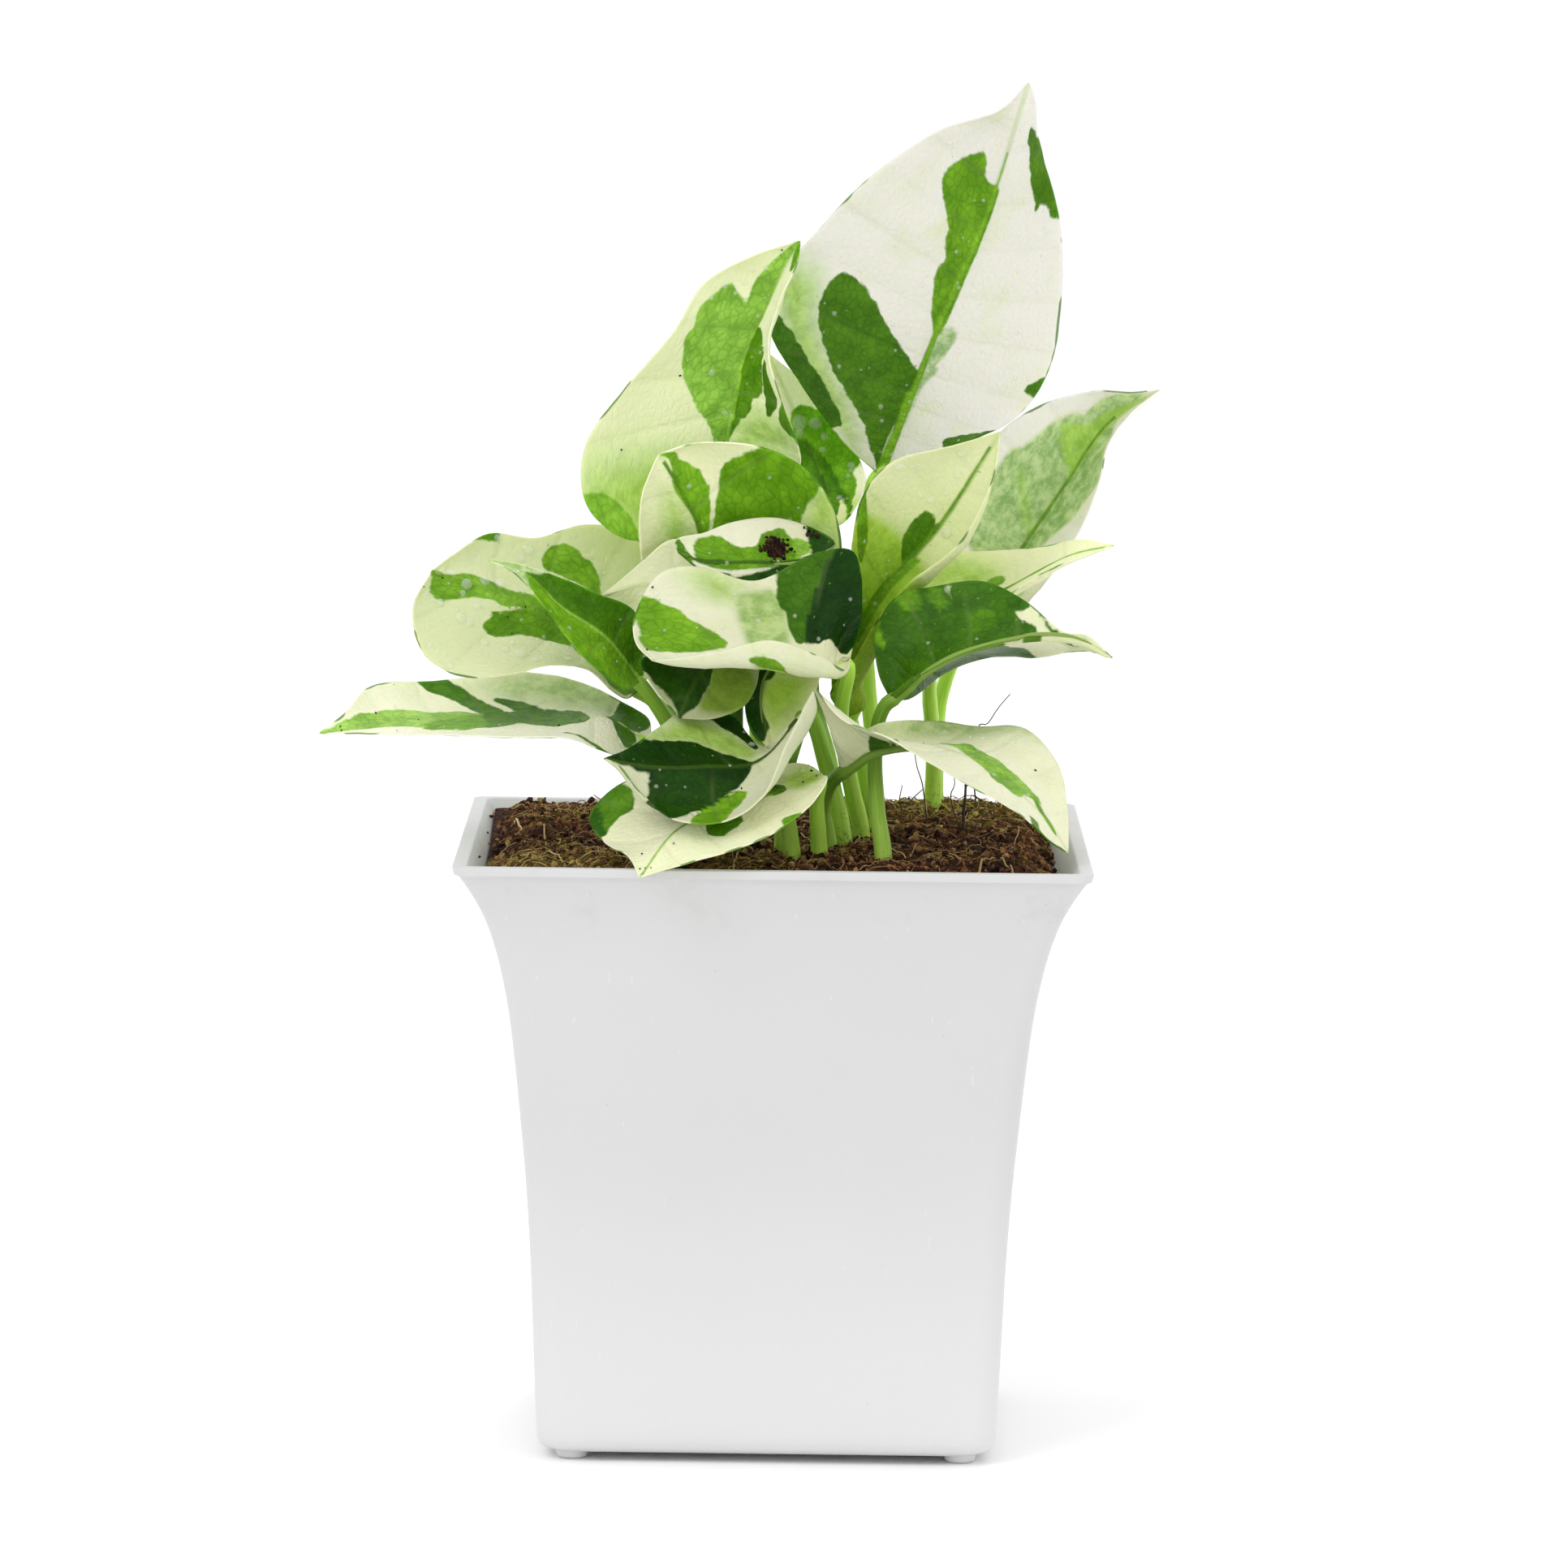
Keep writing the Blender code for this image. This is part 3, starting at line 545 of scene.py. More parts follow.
mix = {
    "level": 99.3, "cells": 132, "corner": 1.6, "gap": 0.4,
    # it rises to the back from a line, and to a mound behind on the right. Lumps and crevices fade at the wall
    "slope": 0.012, "slopeFrom": -10.0, "moundX": 22.0, "moundY": 36.0, "moundHeight": 1.5,
    "moundSpread": 420.0, "creviceDepth": 1.3, "creviceWidth": 0.22, "fadeToWall": 0.14, "crumbleToWall": 0.03,
    # height where the top meets the wall, how much it drops to the right and the front and rises to the back,
    # and a height near the mouth, at which places inside are measured
    "edgeLevel": 97.2, "dropRight": 1.6, "dropFront": 0.6, "riseBack": 1.2, "mouthLevel": 97.0,
    "drawnIn": [(4.0, 2.6), (6.0, 0.8), (10.0, 0.1)],
    "levels": [94.0, 91.0, 87.0, 82.0, 75.0, 66.0, 50.0, 30.0, 10.0, 6.0, 4.35],
    "crumbs": 5600, "crumbSizes": (0.22, 0.28, 0.36, 0.42, 0.5, 0.62, 0.85), "crumbsFromWall": 0.3,
    "fibres": 2300, "fibreRadii": (0.045, 0.11), "fibreSteps": (0.5, 1.7), "fibreArches": (0.1, 0.9),
    "fibresFromWall": 1.5, "fibreSides": 4,
    # grains against the inside of the left wall and on the rim: how many, and from and to which y, z and size
    "spilled": 10, "spilledY": (-30, 46), "spilledZ": (96.5, 99.6), "spilledSizes": (0.25, 0.55),
    # middle, reach and strength of the yellow mossy places
    "moss": [((-42, -34), 13, 0.9), ((-20, -40), 11, 0.6), ((-3, -33), 9, 0.8), ((36, 34), 14, 0.9),
             ((24, 30), 10, 0.6), ((-30, 22), 8, 0.5), ((6, -6), 7, 0.5), ((16, 14), 7, 0.5)],
}


def mixHeight(x, y):
    rise = mix["slope"] * (y - mix["slopeFrom"])
    apart = (x - mix["moundX"]) ** 2 + (y - mix["moundY"]) ** 2
    mound = mix["moundHeight"] * math.exp(-apart / mix["moundSpread"])
    lumps = 0.28 * math.sin(0.31 * x + 0.9) * math.sin(0.27 * y) + 0.22 * math.sin(0.55 * x - 0.45 * y)
    return mix["level"] + rise + mound + lumps


def edgeHeight(across, along):
    level = mix["edgeLevel"] - mix["dropRight"] * max(across, 0.0)
    return level - mix["dropFront"] * max(-along, 0.0) + mix["riseBack"] * max(along, 0.0)


def mixHalf(height):
    return insideHalf(height) - mix["gap"] - readTable(mix["drawnIn"], height)


def crumble(x, y):
    # lumps and crevices of the crumbled surface
    place = Vector((x, y, 0.0))
    lump = noise.noise(place * 0.16) * 0.8 + noise.noise(place * 0.42 + Vector((9, 4, 2))) * 0.7
    crevice = max(0.0, mix["creviceWidth"] - abs(noise.noise(place * 0.33 + Vector((3, 8, 5)))))
    grain = noise.noise(place * 1.15) * 0.5 + noise.noise(place * 2.4) * 0.25
    return lump - mix["creviceDepth"] * crevice + grain


def mixPoint(u, v):
    reach = max(abs(u), abs(v), 1e-9)
    across, along = u / reach, v / reach
    rim = edgeHeight(across, along)
    half = mixHalf(rim)
    x, y = across * half, along * half
    inner = half - mix["corner"]
    if abs(x) > inner and abs(y) > inner:
        scale = mix["corner"] / math.hypot(abs(x) - inner, abs(y) - inner)
        x = math.copysign(inner + (abs(x) - inner) * scale, x)
        y = math.copysign(inner + (abs(y) - inner) * scale, y)
    x, y = x * reach, y * reach
    ease = min(1.0, (1.0 - reach) / mix["fadeToWall"])
    ease = ease * ease * (3.0 - 2.0 * ease)
    height = rim + (mixHeight(x, y) - rim) * ease
    return x, y, height + crumble(x, y) * min(1.0, (1.0 - reach) / mix["crumbleToWall"])


def within(value, reach):
    return max(-reach, min(reach, value))


def mixSurface(x, y):
    # height of the crumbled top above a place in the pot
    half = mixHalf(mix["mouthLevel"])
    return mixPoint(within(x / half, 1.0), within(y / half, 1.0))[2]


def mossAt(x, y):
    share = sum(power * math.exp(-((x - spot[0]) ** 2 + (y - spot[1]) ** 2) / reach ** 2)
                for spot, reach, power in mix["moss"])
    share += 0.7 * max(0.0, noise.noise(Vector((x, y, 3.0)) * 0.14))
    return min(1.0, share)


def selectOpenEdge():
    bpy.ops.mesh.select_all(action="DESELECT")
    bpy.ops.mesh.select_non_manifold()


def makeMix():
    deselectAll()
    bpy.ops.mesh.primitive_grid_add(x_subdivisions=mix["cells"], y_subdivisions=mix["cells"], size=2.0)
    piece = nameActive("pottingMix")
    writePoints(piece, [Vector(mixPoint(u, v)) * mm for u, v, _ in readPoints(piece)])
    editPiece(piece, "EDGE")
    for height in mix["levels"]:
        selectOpenEdge()
        bpy.ops.mesh.extrude_edges_move()
        leaveEditing()
        for vert in piece.data.vertices:
            if vert.select:
                scale = mixHalf(height) / mixHalf(vert.co.z / mm)
                vert.co = (vert.co.x * scale, vert.co.y * scale, height * mm)
        bpy.ops.object.mode_set(mode="EDIT")
    selectOpenEdge()
    bpy.ops.mesh.edge_face_add()
    turnFacesOut()
    leaveEditing()
    smoothAll(piece)
    points = readPoints(piece) / mm
    addNumbers(piece, "moss", [mossAt(x, y) for x, y, _ in points])
    addNumbers(piece, "shade", [0.5 + 0.4 * noise.noise(Vector((x, y, z)) * 0.5) for x, y, z in points])
    return piece


def takeActive():
    # the points and faces of the active object, which goes
    model = bpy.context.active_object
    points, faces = readPoints(model), [tuple(face.vertices) for face in model.data.polygons]
    bpy.data.objects.remove(model, do_unlink=True)
    return points, faces


def crumbShapes(count):
    # a few lumpy grains to copy, each a ball of 20 faces pulled out of round
    shapes = []
    for _ in range(count):
        deselectAll()
        bpy.ops.mesh.primitive_ico_sphere_add(subdivisions=1, radius=1.0)
        points, faces = takeActive()
        points = points * [[chance.uniform(0.55, 1.35)] for _ in points]
        shapes.append((points * (1.0, chance.uniform(0.6, 1.0), chance.uniform(0.45, 0.9)), faces))
    return shapes


def turned(points, yaw, pitch, roll):
    cy, sy, cp, sp, cr, sr = (f(a) for a in (yaw, pitch, roll) for f in (math.cos, math.sin))
    spin = np.array([[cy, -sy, 0], [sy, cy, 0], [0, 0, 1]]) @ np.array([[cp, 0, sp], [0, 1, 0], [-sp, 0, cp]])
    return points @ (spin @ np.array([[1, 0, 0], [0, cr, -sr], [0, sr, cr]])).T


def makeCrumbs():
    shapes = crumbShapes(9)
    parts, shades, mosses = [], [], []
    limit = mixHalf(mix["mouthLevel"]) - mix["crumbsFromWall"]

    def drop(x, y, z, size, moss):
        points, faces = chance.choice(shapes)
        angles = [chance.uniform(0, 2 * math.pi) for _ in range(3)]
        parts.append((turned(points, *angles) * size + (x, y, z), faces))
        shades.append(chance.random())
        mosses.append(moss)

    for _ in range(mix["crumbs"]):
        x, y = chance.uniform(-limit, limit), chance.uniform(-limit, limit)
        size = chance.choice(mix["crumbSizes"]) * chance.uniform(0.8, 1.2)
        size = min(size, 0.35 + limit - max(abs(x), abs(y)))   # small ones by the wall
        moss = 1.0 if chance.random() < mossAt(x, y) * 0.8 else 0.0
        drop(x, y, mixSurface(x, y) + size * chance.uniform(-0.1, 0.55), size, moss)
    for _ in range(mix["spilled"]):
        y, z = chance.uniform(*mix["spilledY"]), chance.uniform(*mix["spilledZ"])
        drop(-insideHalf(z) + 0.5, y, z, chance.uniform(*mix["spilledSizes"]), 0.0)
    return pieceOf("mixCrumbs", parts, shade=shades, moss=mosses)


def makeFibres():
    parts, shades, mosses = [], [], []
    limit = mixHalf(mix["mouthLevel"]) - mix["fibresFromWall"]
    while len(parts) < mix["fibres"]:
        x, y = chance.uniform(-limit, limit), chance.uniform(-limit, limit)
        moss = mossAt(x, y)
        if chance.random() > 0.25 + 0.75 * moss:
            continue
        heading, bend = chance.uniform(0, 2 * math.pi), chance.uniform(-0.5, 0.5)
        step, arch = chance.uniform(*mix["fibreSteps"]), chance.uniform(*mix["fibreArches"])
        line = []
        for index in range(6):
            lift = 0.15 + arch * math.sin(math.pi * index / 5)
            line.append((x, y, mixSurface(x, y) + lift))
            heading += bend + chance.uniform(-0.35, 0.35)
            x = within(x + step * math.cos(heading), limit)
            y = within(y + step * math.sin(heading), limit)
            if abs(x) == limit or abs(y) == limit:
                heading += math.pi / 2
        radius = chance.uniform(*mix["fibreRadii"])
        parts.append(tubeAround(line, [radius] * 5 + [radius * 0.5], mix["fibreSides"]))
        shades.append(chance.random())
        mosses.append(1.0 if chance.random() < moss else 0.0)
    return pieceOf("mixFibres", parts, shade=shades, moss=mosses)


# where pale roots lie on the mix, and how far they arch
paleRoots = {
    "lines": [
        [(23.6, -27.6), (25.7, -21.7), (27.7, -21.5), (29.6, -27.0), (31.4, -38.0)],
        [(33.3, -42.2), (34.9, -30.9), (36.7, -26.2)],
        [(37.2, -28.4), (38.5, -35.0), (39.2, -43.8)],
        [(4.3, 16.0), (6.4, 12.6), (8.3, 9.3), (10.3, 5.7)],
        [(4.2, 3.7), (5.5, -6.4), (6.7, -18.1), (6.3, -29.5), (5.1, -42.1)],
        [(6.7, -20.4), (7.9, -24.8), (10.0, -28.0)],
        [(12.8, 5.3), (13.5, 1.3), (14.4, -5.8)],
        [(-6.5, -44.3), (-6.2, -33.1), (-5.6, -24.7)],
        [(-45.3, 36.2), (-43.2, 35.3), (-37.7, 39.5)],
        [(-44.0, 23.1), (-43.8, 17.2), (-42.1, 5.1)],
        [(-38.8, 11.9), (-38.2, -5.7), (-37.4, -22.9)],
        [(-37.6, -22.9), (-35.5, -30.6), (-34.2, -38.3)],
        [(-38.0, -23.0), (-41.5, -28.0), (-44.0, -36.0)],
        [(-22.0, -40.0), (-25.0, -33.0), (-29.0, -31.0), (-33.0, -36.0)],
        [(27.0, 31.0), (30.0, 27.0), (31.0, 20.0), (34.0, 14.0)],
        [(22.0, 38.0), (25.0, 33.0), (26.0, 25.0)],
        [(38.0, 10.0), (41.0, 4.0), (40.0, -4.0)],
        [(-12.0, 24.0), (-18.0, 20.0), (-24.0, 24.0)],
        [(18.2, -24.5), (19.5, -22.6), (21.2, -23.2), (22.0, -25.5)],
    ],
    "radius": 0.19, "arch": 0.7, "rise": 0.5, "buriedEnds": 0.8, "thinning": 0.45, "points": 18, "sides": 7,
}


def makeRoots():
    parts, shades = [], []
    last = paleRoots["points"] - 1
    shares = np.linspace(0, 1, last + 1)
    for line in paleRoots["lines"]:
        flat = alongPath([(x, y, 0.0) for x, y in line], shares)
        lift = paleRoots["arch"] * chance.uniform(0.4, 1.3)
        centres = []
        for index, (x, y, _) in enumerate(flat):
            rise = lift * math.sin(math.pi * index / last) + 0.35 * noise.noise(Vector((x, y, 7.0)) * 0.4)
            buried = paleRoots["buriedEnds"] if index in (0, last) else 0.0
            centres.append((x, y, mixSurface(x, y) + paleRoots["rise"] + rise - buried))
        for index in range(1, last):   # evens out the crumbled surface under the root
            previous, here, following = (np.array(centres[index + shift]) for shift in (-1, 0, 1))
            centres[index] = tuple((previous + here + following) / 3)
        radius = paleRoots["radius"] * chance.uniform(0.7, 1.2)
        parts.append(tubeAround(centres, radius * (1.0 - paleRoots["thinning"] * shares), paleRoots["sides"]))
        shades.append(chance.random())
    piece = pieceOf("paleRoots", parts, shade=shades)
    smoothAll(piece)
    return piece


# thin dark hairs and one dry stem that stand up out of the mix
darkHairs = {
    "lines": [
        [(34.7, 30, 99.8), (34.0, 30, 105.7), (33.7, 29, 109.2), (34.6, 26, 116.0), (36.0, 22, 116.8),
         (37.7, 20, 119.7), (39.7, 20, 122.1)],
        [(26.0, 22, 99.8), (25.0, 21, 106.7), (24.1, 20, 109.5), (23.5, 20, 113.0)],
        [(31.5, 14, 99.6), (30.2, 14, 103.1), (29.8, 14, 105.6), (30.4, 14, 107.2), (30.2, 14, 109.0)],
        [(33.4, 12, 99.4), (35.0, 13, 101.7), (37.2, 14, 103.2)],
        [(22.6, 24, 99.8), (21.3, 24, 102.8), (21.7, 25, 105.8)],
        [(22.2, 24, 102.0), (23.6, 25, 103.6), (25.2, 26, 105.0)],
        [(-28.0, -30, 99.5), (-26.0, -31, 103.0), (-27.2, -32, 108.0), (-29.5, -33, 110.0)],
        [(-20.0, 10, 99.5), (-22.5, 11, 101.5), (-26.0, 10, 102.0)],
    ],
    "radius": 0.15, "thinning": 0.5, "points": 22,
    "dryStem": [(32.1, 12, 98.6), (31.9, 11, 103.1), (32.1, 10, 105.2), (32.2, 10, 107.5)],
    "stemRadius": 0.34, "stemThinning": 0.4, "stemPoints": 14,
    "knots": [(31.3, 11, 102.6), (32.9, 11, 103.2), (32.3, 10, 107.6)], "knotSize": 0.5,
}


def makeHairs():
    parts = []
    shares = np.linspace(0, 1, darkHairs["points"])
    radii = darkHairs["radius"] * (1.0 - darkHairs["thinning"] * shares)
    for line in darkHairs["lines"]:
        parts.append(tubeAround(alongPath(line, shares), radii, 6))
    shares = np.linspace(0, 1, darkHairs["stemPoints"])
    radii = darkHairs["stemRadius"] * (1.0 - darkHairs["stemThinning"] * shares)
    parts.append(tubeAround(alongPath(darkHairs["dryStem"], shares), radii, 9))
    for knot in darkHairs["knots"]:
        points, faces = chance.choice(crumbShapes(1))
        parts.append((points * darkHairs["knotSize"] + knot, faces))
    piece = pieceOf("darkHairs", parts)
    smoothAll(piece)
    return piece


def makeCoir(name, lift):
    material, shader = newMaterial(name, Roughness=0.95, Specular_IOR_Level=0.15)
    place = objectPlace(material)
    grain = noiseOf(place, 700.0, 4.0, 0.7)
    value = total(product(numberOf(material, "shade"), 0.55), product(grain, 0.5))
    value = total(value, lift)
    brown = colourRamp(value, [
        (0.25, 20, 11, 9), (0.42, 60, 36, 26), (0.60, 106, 69, 47), (0.78, 156, 114, 75),
        (0.95, 200, 168, 120)])
    olive = colourRamp(value, [
        (0.25, 46, 34, 16), (0.50, 106, 86, 40), (0.72, 160, 138, 72), (0.95, 204, 186, 118)])
    body = blendColours(fade(numberOf(material, "moss"), 0.25, 0.85), brown, olive)
    normal = bumpOf(noiseOf(place, 1600.0, 3.0, 0.7), 0.0003, 0.8)
    dress(shader, Base_Color=body, Normal=bumpOf(grain, 0.0005, 0.7, normal))
    return material


def makeRootSkin():
    material, shader = newMaterial("rootSkin", Roughness=0.7)
    place = objectPlace(material)
    value = halfEach(numberOf(material, "shade"), noiseOf(place, 900.0))
    tan = colourRamp(value, [(0.2, 150, 118, 66), (0.5, 186, 158, 96), (0.8, 214, 192, 138)])
    dress(shader, Base_Color=tan, Normal=bumpOf(noiseOf(place, 1800.0), 0.0001))
    return material


def makeHairSkin():
    material, shader = newMaterial("dryBrown", Roughness=0.8)
    value = noiseOf(objectPlace(material), 600.0, 3.0, 0.7)
    brown = colourRamp(value, [(0.3, 40, 32, 30), (0.55, 72, 60, 54), (0.75, 118, 100, 84)])
    dress(shader, Base_Color=brown, Normal=bumpOf(value, 0.0001))
    return material


chance = random.Random(7)
# painted shade: the block gets a darker copy of the crumbs' coir, for the shade in the gaps between crumbs
settle(makeMix(), makeCoir("coirBlock", -0.13), ["potting_mix"])
settle(makeCrumbs(), makeCoir("coirCrumbs", 0.04))
settle(makeFibres(), makeCoir("coirFibres", 0.12))
settle(makeRoots(), makeRootSkin())
settle(makeHairs(), makeHairSkin())
print("potting mix ready")


# Leaves. Points along the midrib from the stalk to the tip, then the points that the left and right edges
# pass through. Left and right are as seen with the upper face in view and the tip up. "cup" is how far the
# left and right halves bulge to the back
leafShapes = {
    "leaf01": {
        "midrib": [(17, 9, 160), (22, 13, 172.5), (27, 15, 185.5), (34.5, 16, 203.5), (41, 13, 225.5)],
        "left": [(11.5, 6, 165), (3.5, 4, 175.5), (-2, 5, 185.5), (0.5, 6, 194), (6.5, 8, 201),
            (13.5, 9, 208.5), (25.5, 12, 217), (36.5, 13, 221)],
        "right": [(22, 4, 163.5), (30.5, -1, 166), (39, -2, 170.5), (44.5, -1, 178), (46.5, 1, 189.5),
            (46, 4, 203.5), (42.5, 9, 217), (42, 12, 222.5)],
        "cup": (1, 1),
    },
    "leaf02": {
        "midrib": [(-10.5, -2, 156), (-9, -4, 166.5), (-6.5, -4, 179), (-2, -4, 189.5), (3, -6, 199.5)],
        "left": [(-17, -8, 151.5), (-25, -14, 150.5), (-31.5, -14, 156), (-32, -12, 165.5), (-25.5, -10, 175),
            (-17.5, -9, 184.5), (-12.5, -8, 192.5), (-4.5, -7, 197)],
        "right": [(-4, -7, 157), (3.5, -14, 163), (0.5, -16, 173), (-2, -14, 182), (0, -10, 190.5),
            (2.5, -8, 196)],
        "cup": (1.5, 1),
    },
    "leaf03": {
        "midrib": [(-7, -8, 135), (-9.5, -12, 144), (-12.5, -15, 152), (-16, -18, 159), (-19.5, -22, 165)],
        "left": [(-13, -13, 133.5), (-21, -17, 143), (-22.5, -20, 151), (-22, -22, 158.5), (-20.5, -22.5, 163)],
        "right": [(0.5, -9, 133.5), (9, -8.5, 140.5), (10.5, -10, 151), (5.5, -15.5, 161.5), (-4, -20.5, 166.5),
            (-13, -22.5, 167)],
        "cup": (1.5, 2),
    },
    "leaf04": {
        "midrib": [(8.5, 2, 151), (7, 7, 159.5), (3.5, 11, 168), (-2, 9.5, 180)],
        "left": [(3, 1, 151), (-3, 1, 158), (-6, 3.5, 167), (-5, 6, 175)],
        "right": [(11.5, 2, 153), (14.5, 5.5, 158.5), (13.5, 9.5, 162.5), (9.5, 11.5, 168.5), (4, 11, 175)],
        "cup": (1, 1),
    },
    "leaf05": {
        "midrib": [(13, -6, 121.5), (13.5, -6, 132), (17.5, -5, 141.5), (26, -5, 151.5), (36.5, -9, 168.5)],
        "left": [(10.5, -6.5, 121.5), (9.5, -9.5, 132.5), (12, -12, 144.5), (14, -12, 158), (19, -11, 163.5),
            (28.5, -10, 166)],
        "right": [(12, -11, 121.5), (9, -14, 125), (12.5, -15.5, 130.5), (16.5, -15, 137.5), (21.5, -15, 143.5),
            (30.5, -13, 151), (35.5, -10, 161.5)],
        "cup": (1, 3),
    },
    "leaf06": {
        "midrib": [(7.5, -19, 149), (2.5, -22, 148), (-5, -25, 148), (-11.5, -27, 148), (-16, -28.5, 149.5)],
        "left": [(9, -19, 147), (3.5, -22.5, 145), (-2, -25, 143.5), (-7.5, -27, 144), (-13, -28, 147)],
        "right": [(9.5, -14.5, 150.5), (5, -14, 153), (-1, -16.5, 154.5), (-7.5, -21, 154), (-12, -24.5, 152.5),
            (-16.5, -27.5, 151.5)],
        "cup": (0.5, 1),
    },
    "leaf07": {
        "midrib": [(12, -26, 132.5), (6, -31, 131), (-3.5, -35, 132.5), (-12.5, -38, 133), (-20, -40, 133)],
        "left": [(11.5, -32, 131), (6.5, -38, 134), (-1, -41, 136.5), (-8, -42, 135), (-16, -42, 133.5)],
        "right": [(14, -22, 139), (12.5, -22, 149.5), (5.5, -25, 149), (-3.5, -28, 145), (-13, -31, 147.5),
            (-19, -34, 146.5), (-23, -38, 139.5), (-22.5, -40, 135.5)],
        "cup": (2.5, 2),
    },
    "leaf08": {
        "midrib": [(34, 24, 135), (42, 24, 147.5), (48.5, 23, 157.5), (55.5, 22, 168), (64, 19, 174)],
        "left": [(29, 20, 136.5), (28.5, 18, 146.5), (31.5, 16, 157.5), (37, 15, 166.5), (44.5, 16, 171.5),
            (52.5, 18, 173.5), (59.5, 18, 173.5)],
        "right": [(37, 20, 133), (43, 16, 139), (49.5, 13, 148.5), (53.5, 12, 157.5), (55.5, 14, 165.5),
            (59.5, 17, 170.5)],
        "cup": (1, 1),
    },
    "leaf09": {
        "midrib": [(25, 4, 132.5), (31, 3, 137.5), (38.5, 1, 142), (48.5, 0, 147.5), (56, -2, 149.5)],
        "left": [(22, 8, 136), (22, 12, 141), (27, 14, 146), (35, 12, 147), (43, 8, 148), (50.5, 2, 150)],
        "right": [(23.5, 2, 129.5), (24.5, -2, 125), (29.5, -7, 132), (37.5, -8, 140.5), (46, -6, 146),
            (53, -3, 148.5)],
        "cup": (1, 1),
    },
    "leaf10": {
        "midrib": [(19, -24, 125.5), (23, -26, 129), (30, -28, 133), (38.5, -28, 135.5), (47.5, -27, 136),
            (55, -28, 133)],
        "left": [(17, -22, 129.5), (16.5, -19, 136.5), (20, -17, 142), (26, -17, 143.5), (34, -18, 144.5),
            (41, -20, 141.5), (47, -24, 137), (51, -27, 136.5)],
        "right": [(22, -20, 125), (28, -12, 128.5), (35, -10, 131), (43.5, -12, 131.5), (49.5, -18, 133),
            (52.5, -25, 133.5)],
        "cup": (2, 0.5),
    },
    "leaf11": {
        "midrib": [(11, -28, 114.5), (15.5, -30, 117.5), (22, -31, 119), (31, -33, 117.5), (39, -36, 112.5),
            (45, -39, 107), (48, -42, 102.5)],
        "left": [(12.5, -26, 118.5), (16.5, -27.5, 121.5), (20.5, -25, 122), (26, -20, 121.5), (33, -18, 120.5),
            (41, -21, 120.5), (46.5, -27, 115.5), (48, -35, 108.5)],
        "right": [(9, -33, 121), (6.5, -34.5, 128), (11, -38, 123.5), (18, -40, 121), (24.5, -43, 117.5),
            (33, -45, 113), (40.5, -46, 109), (44.5, -45, 105)],
        "cup": (1, 0.5),
    },
    "leaf12": {
        "midrib": [(-22.5, -12, 125.5), (-32.5, -13, 133.5), (-41, -16, 139), (-49, -19, 143),
            (-56.5, -23, 145.5)],
        "left": [(-25, -18, 124.5), (-31, -24, 130), (-36.5, -27, 131), (-43, -30, 129.5), (-51, -31, 129),
            (-57.5, -30, 132.5), (-59.5, -27, 139.5)],
        "right": [(-19, -6, 131.5), (-19.5, -2, 144.5), (-24.5, -2, 150.5), (-32, -5, 152), (-40, -9, 150),
            (-47.5, -14, 151), (-53, -19, 148)],
        "cup": (1, 1.5),
    },
    "leaf13": {
        "midrib": [(-22, -23, 128), (-28, -26.5, 135.5), (-35, -29.5, 140.5), (-40.5, -32.5, 146),
            (-47, -34.5, 148.5)],
        "left": [(-24.5, -29, 127), (-29.5, -33.5, 131), (-34, -35.5, 136), (-38, -36.5, 141.5),
            (-42.5, -36.5, 146.5)],
        "right": [(-21, -21.5, 133.5), (-23.5, -24, 139.5), (-29.5, -27, 142.5), (-35, -29.5, 145),
            (-41.5, -32.5, 147.5)],
        "cup": (0.5, 1.5),
    },
    "leaf14": {
        "midrib": [(-7, -22, 141), (-14.5, -23, 143.5), (-22, -21.5, 143.5), (-29, -20, 141.5)],
        "left": [(-7.5, -24, 138), (-14, -25.5, 139), (-20, -23, 138.5), (-25.5, -19.5, 138.5)],
        "right": [(-7, -19.5, 146.5), (-13, -20, 150), (-17.5, -20.5, 151), (-22, -21, 147.5),
            (-26.5, -20, 143.5)],
        "cup": (0.5, 0.5),
    },
    "leaf15": {
        "midrib": [(-21.5, -22, 118.5), (-27.5, -22, 122), (-34, -22, 121), (-42, -22, 120.5),
            (-53, -22, 120.5), (-65, -22, 120), (-75, -22, 118.5)],
        "left": [(-22, -26, 116), (-26, -31, 116.5), (-34, -34, 119.5), (-41.5, -34, 119.5),
            (-52.5, -31, 119.5), (-63, -27, 119)],
        "right": [(-20.5, -19, 119), (-21, -16, 121), (-25, -12.5, 123), (-32, -9, 126), (-42.5, -7, 127.5),
            (-56, -9, 126), (-67, -14, 125.5), (-71, -19, 121.5)],
        "cup": (0.5, 1.5),
    },
    "leaf16": {
        "midrib": [(4, -34, 124), (-3, -38, 116.5), (-11, -41, 116), (-19, -43, 116), (-27.5, -46, 117.5)],
        "left": [(6, -38, 128), (2, -46, 120.5), (-2, -50, 112), (-8.5, -53, 108), (-16, -53, 108.5),
            (-21.5, -51, 112.5), (-25, -48, 116.5)],
        "right": [(-0.5, -32, 119), (-3, -29.5, 117.5), (-6.5, -29, 122.5), (-13.5, -31, 124.5),
            (-19, -36, 121.5), (-24, -42, 118.5)],
        "cup": (2.5, 1.5),
    },
    "leaf17": {
        "midrib": [(7.5, -36, 114.5), (1, -40, 112), (-7, -44, 109.5), (-15.5, -49, 106.5), (-21.5, -57, 99.5)],
        "left": [(8.5, -42, 114), (5, -48, 109.5), (-3, -54, 105), (-12, -57, 102.5), (-17.5, -58, 101)],
        "right": [(5.5, -34, 115.5), (-3, -32.5, 115.5), (-14, -32, 114), (-25, -34, 112), (-30, -38, 107),
            (-27.5, -44, 103.5), (-23.5, -50, 102)],
        "cup": (0.8, 1),
    },
    "leaf18": {
        "midrib": [(-7, -22, 134.5), (-10, -28, 132.5), (-13.5, -33, 128), (-15.5, -35, 123)],
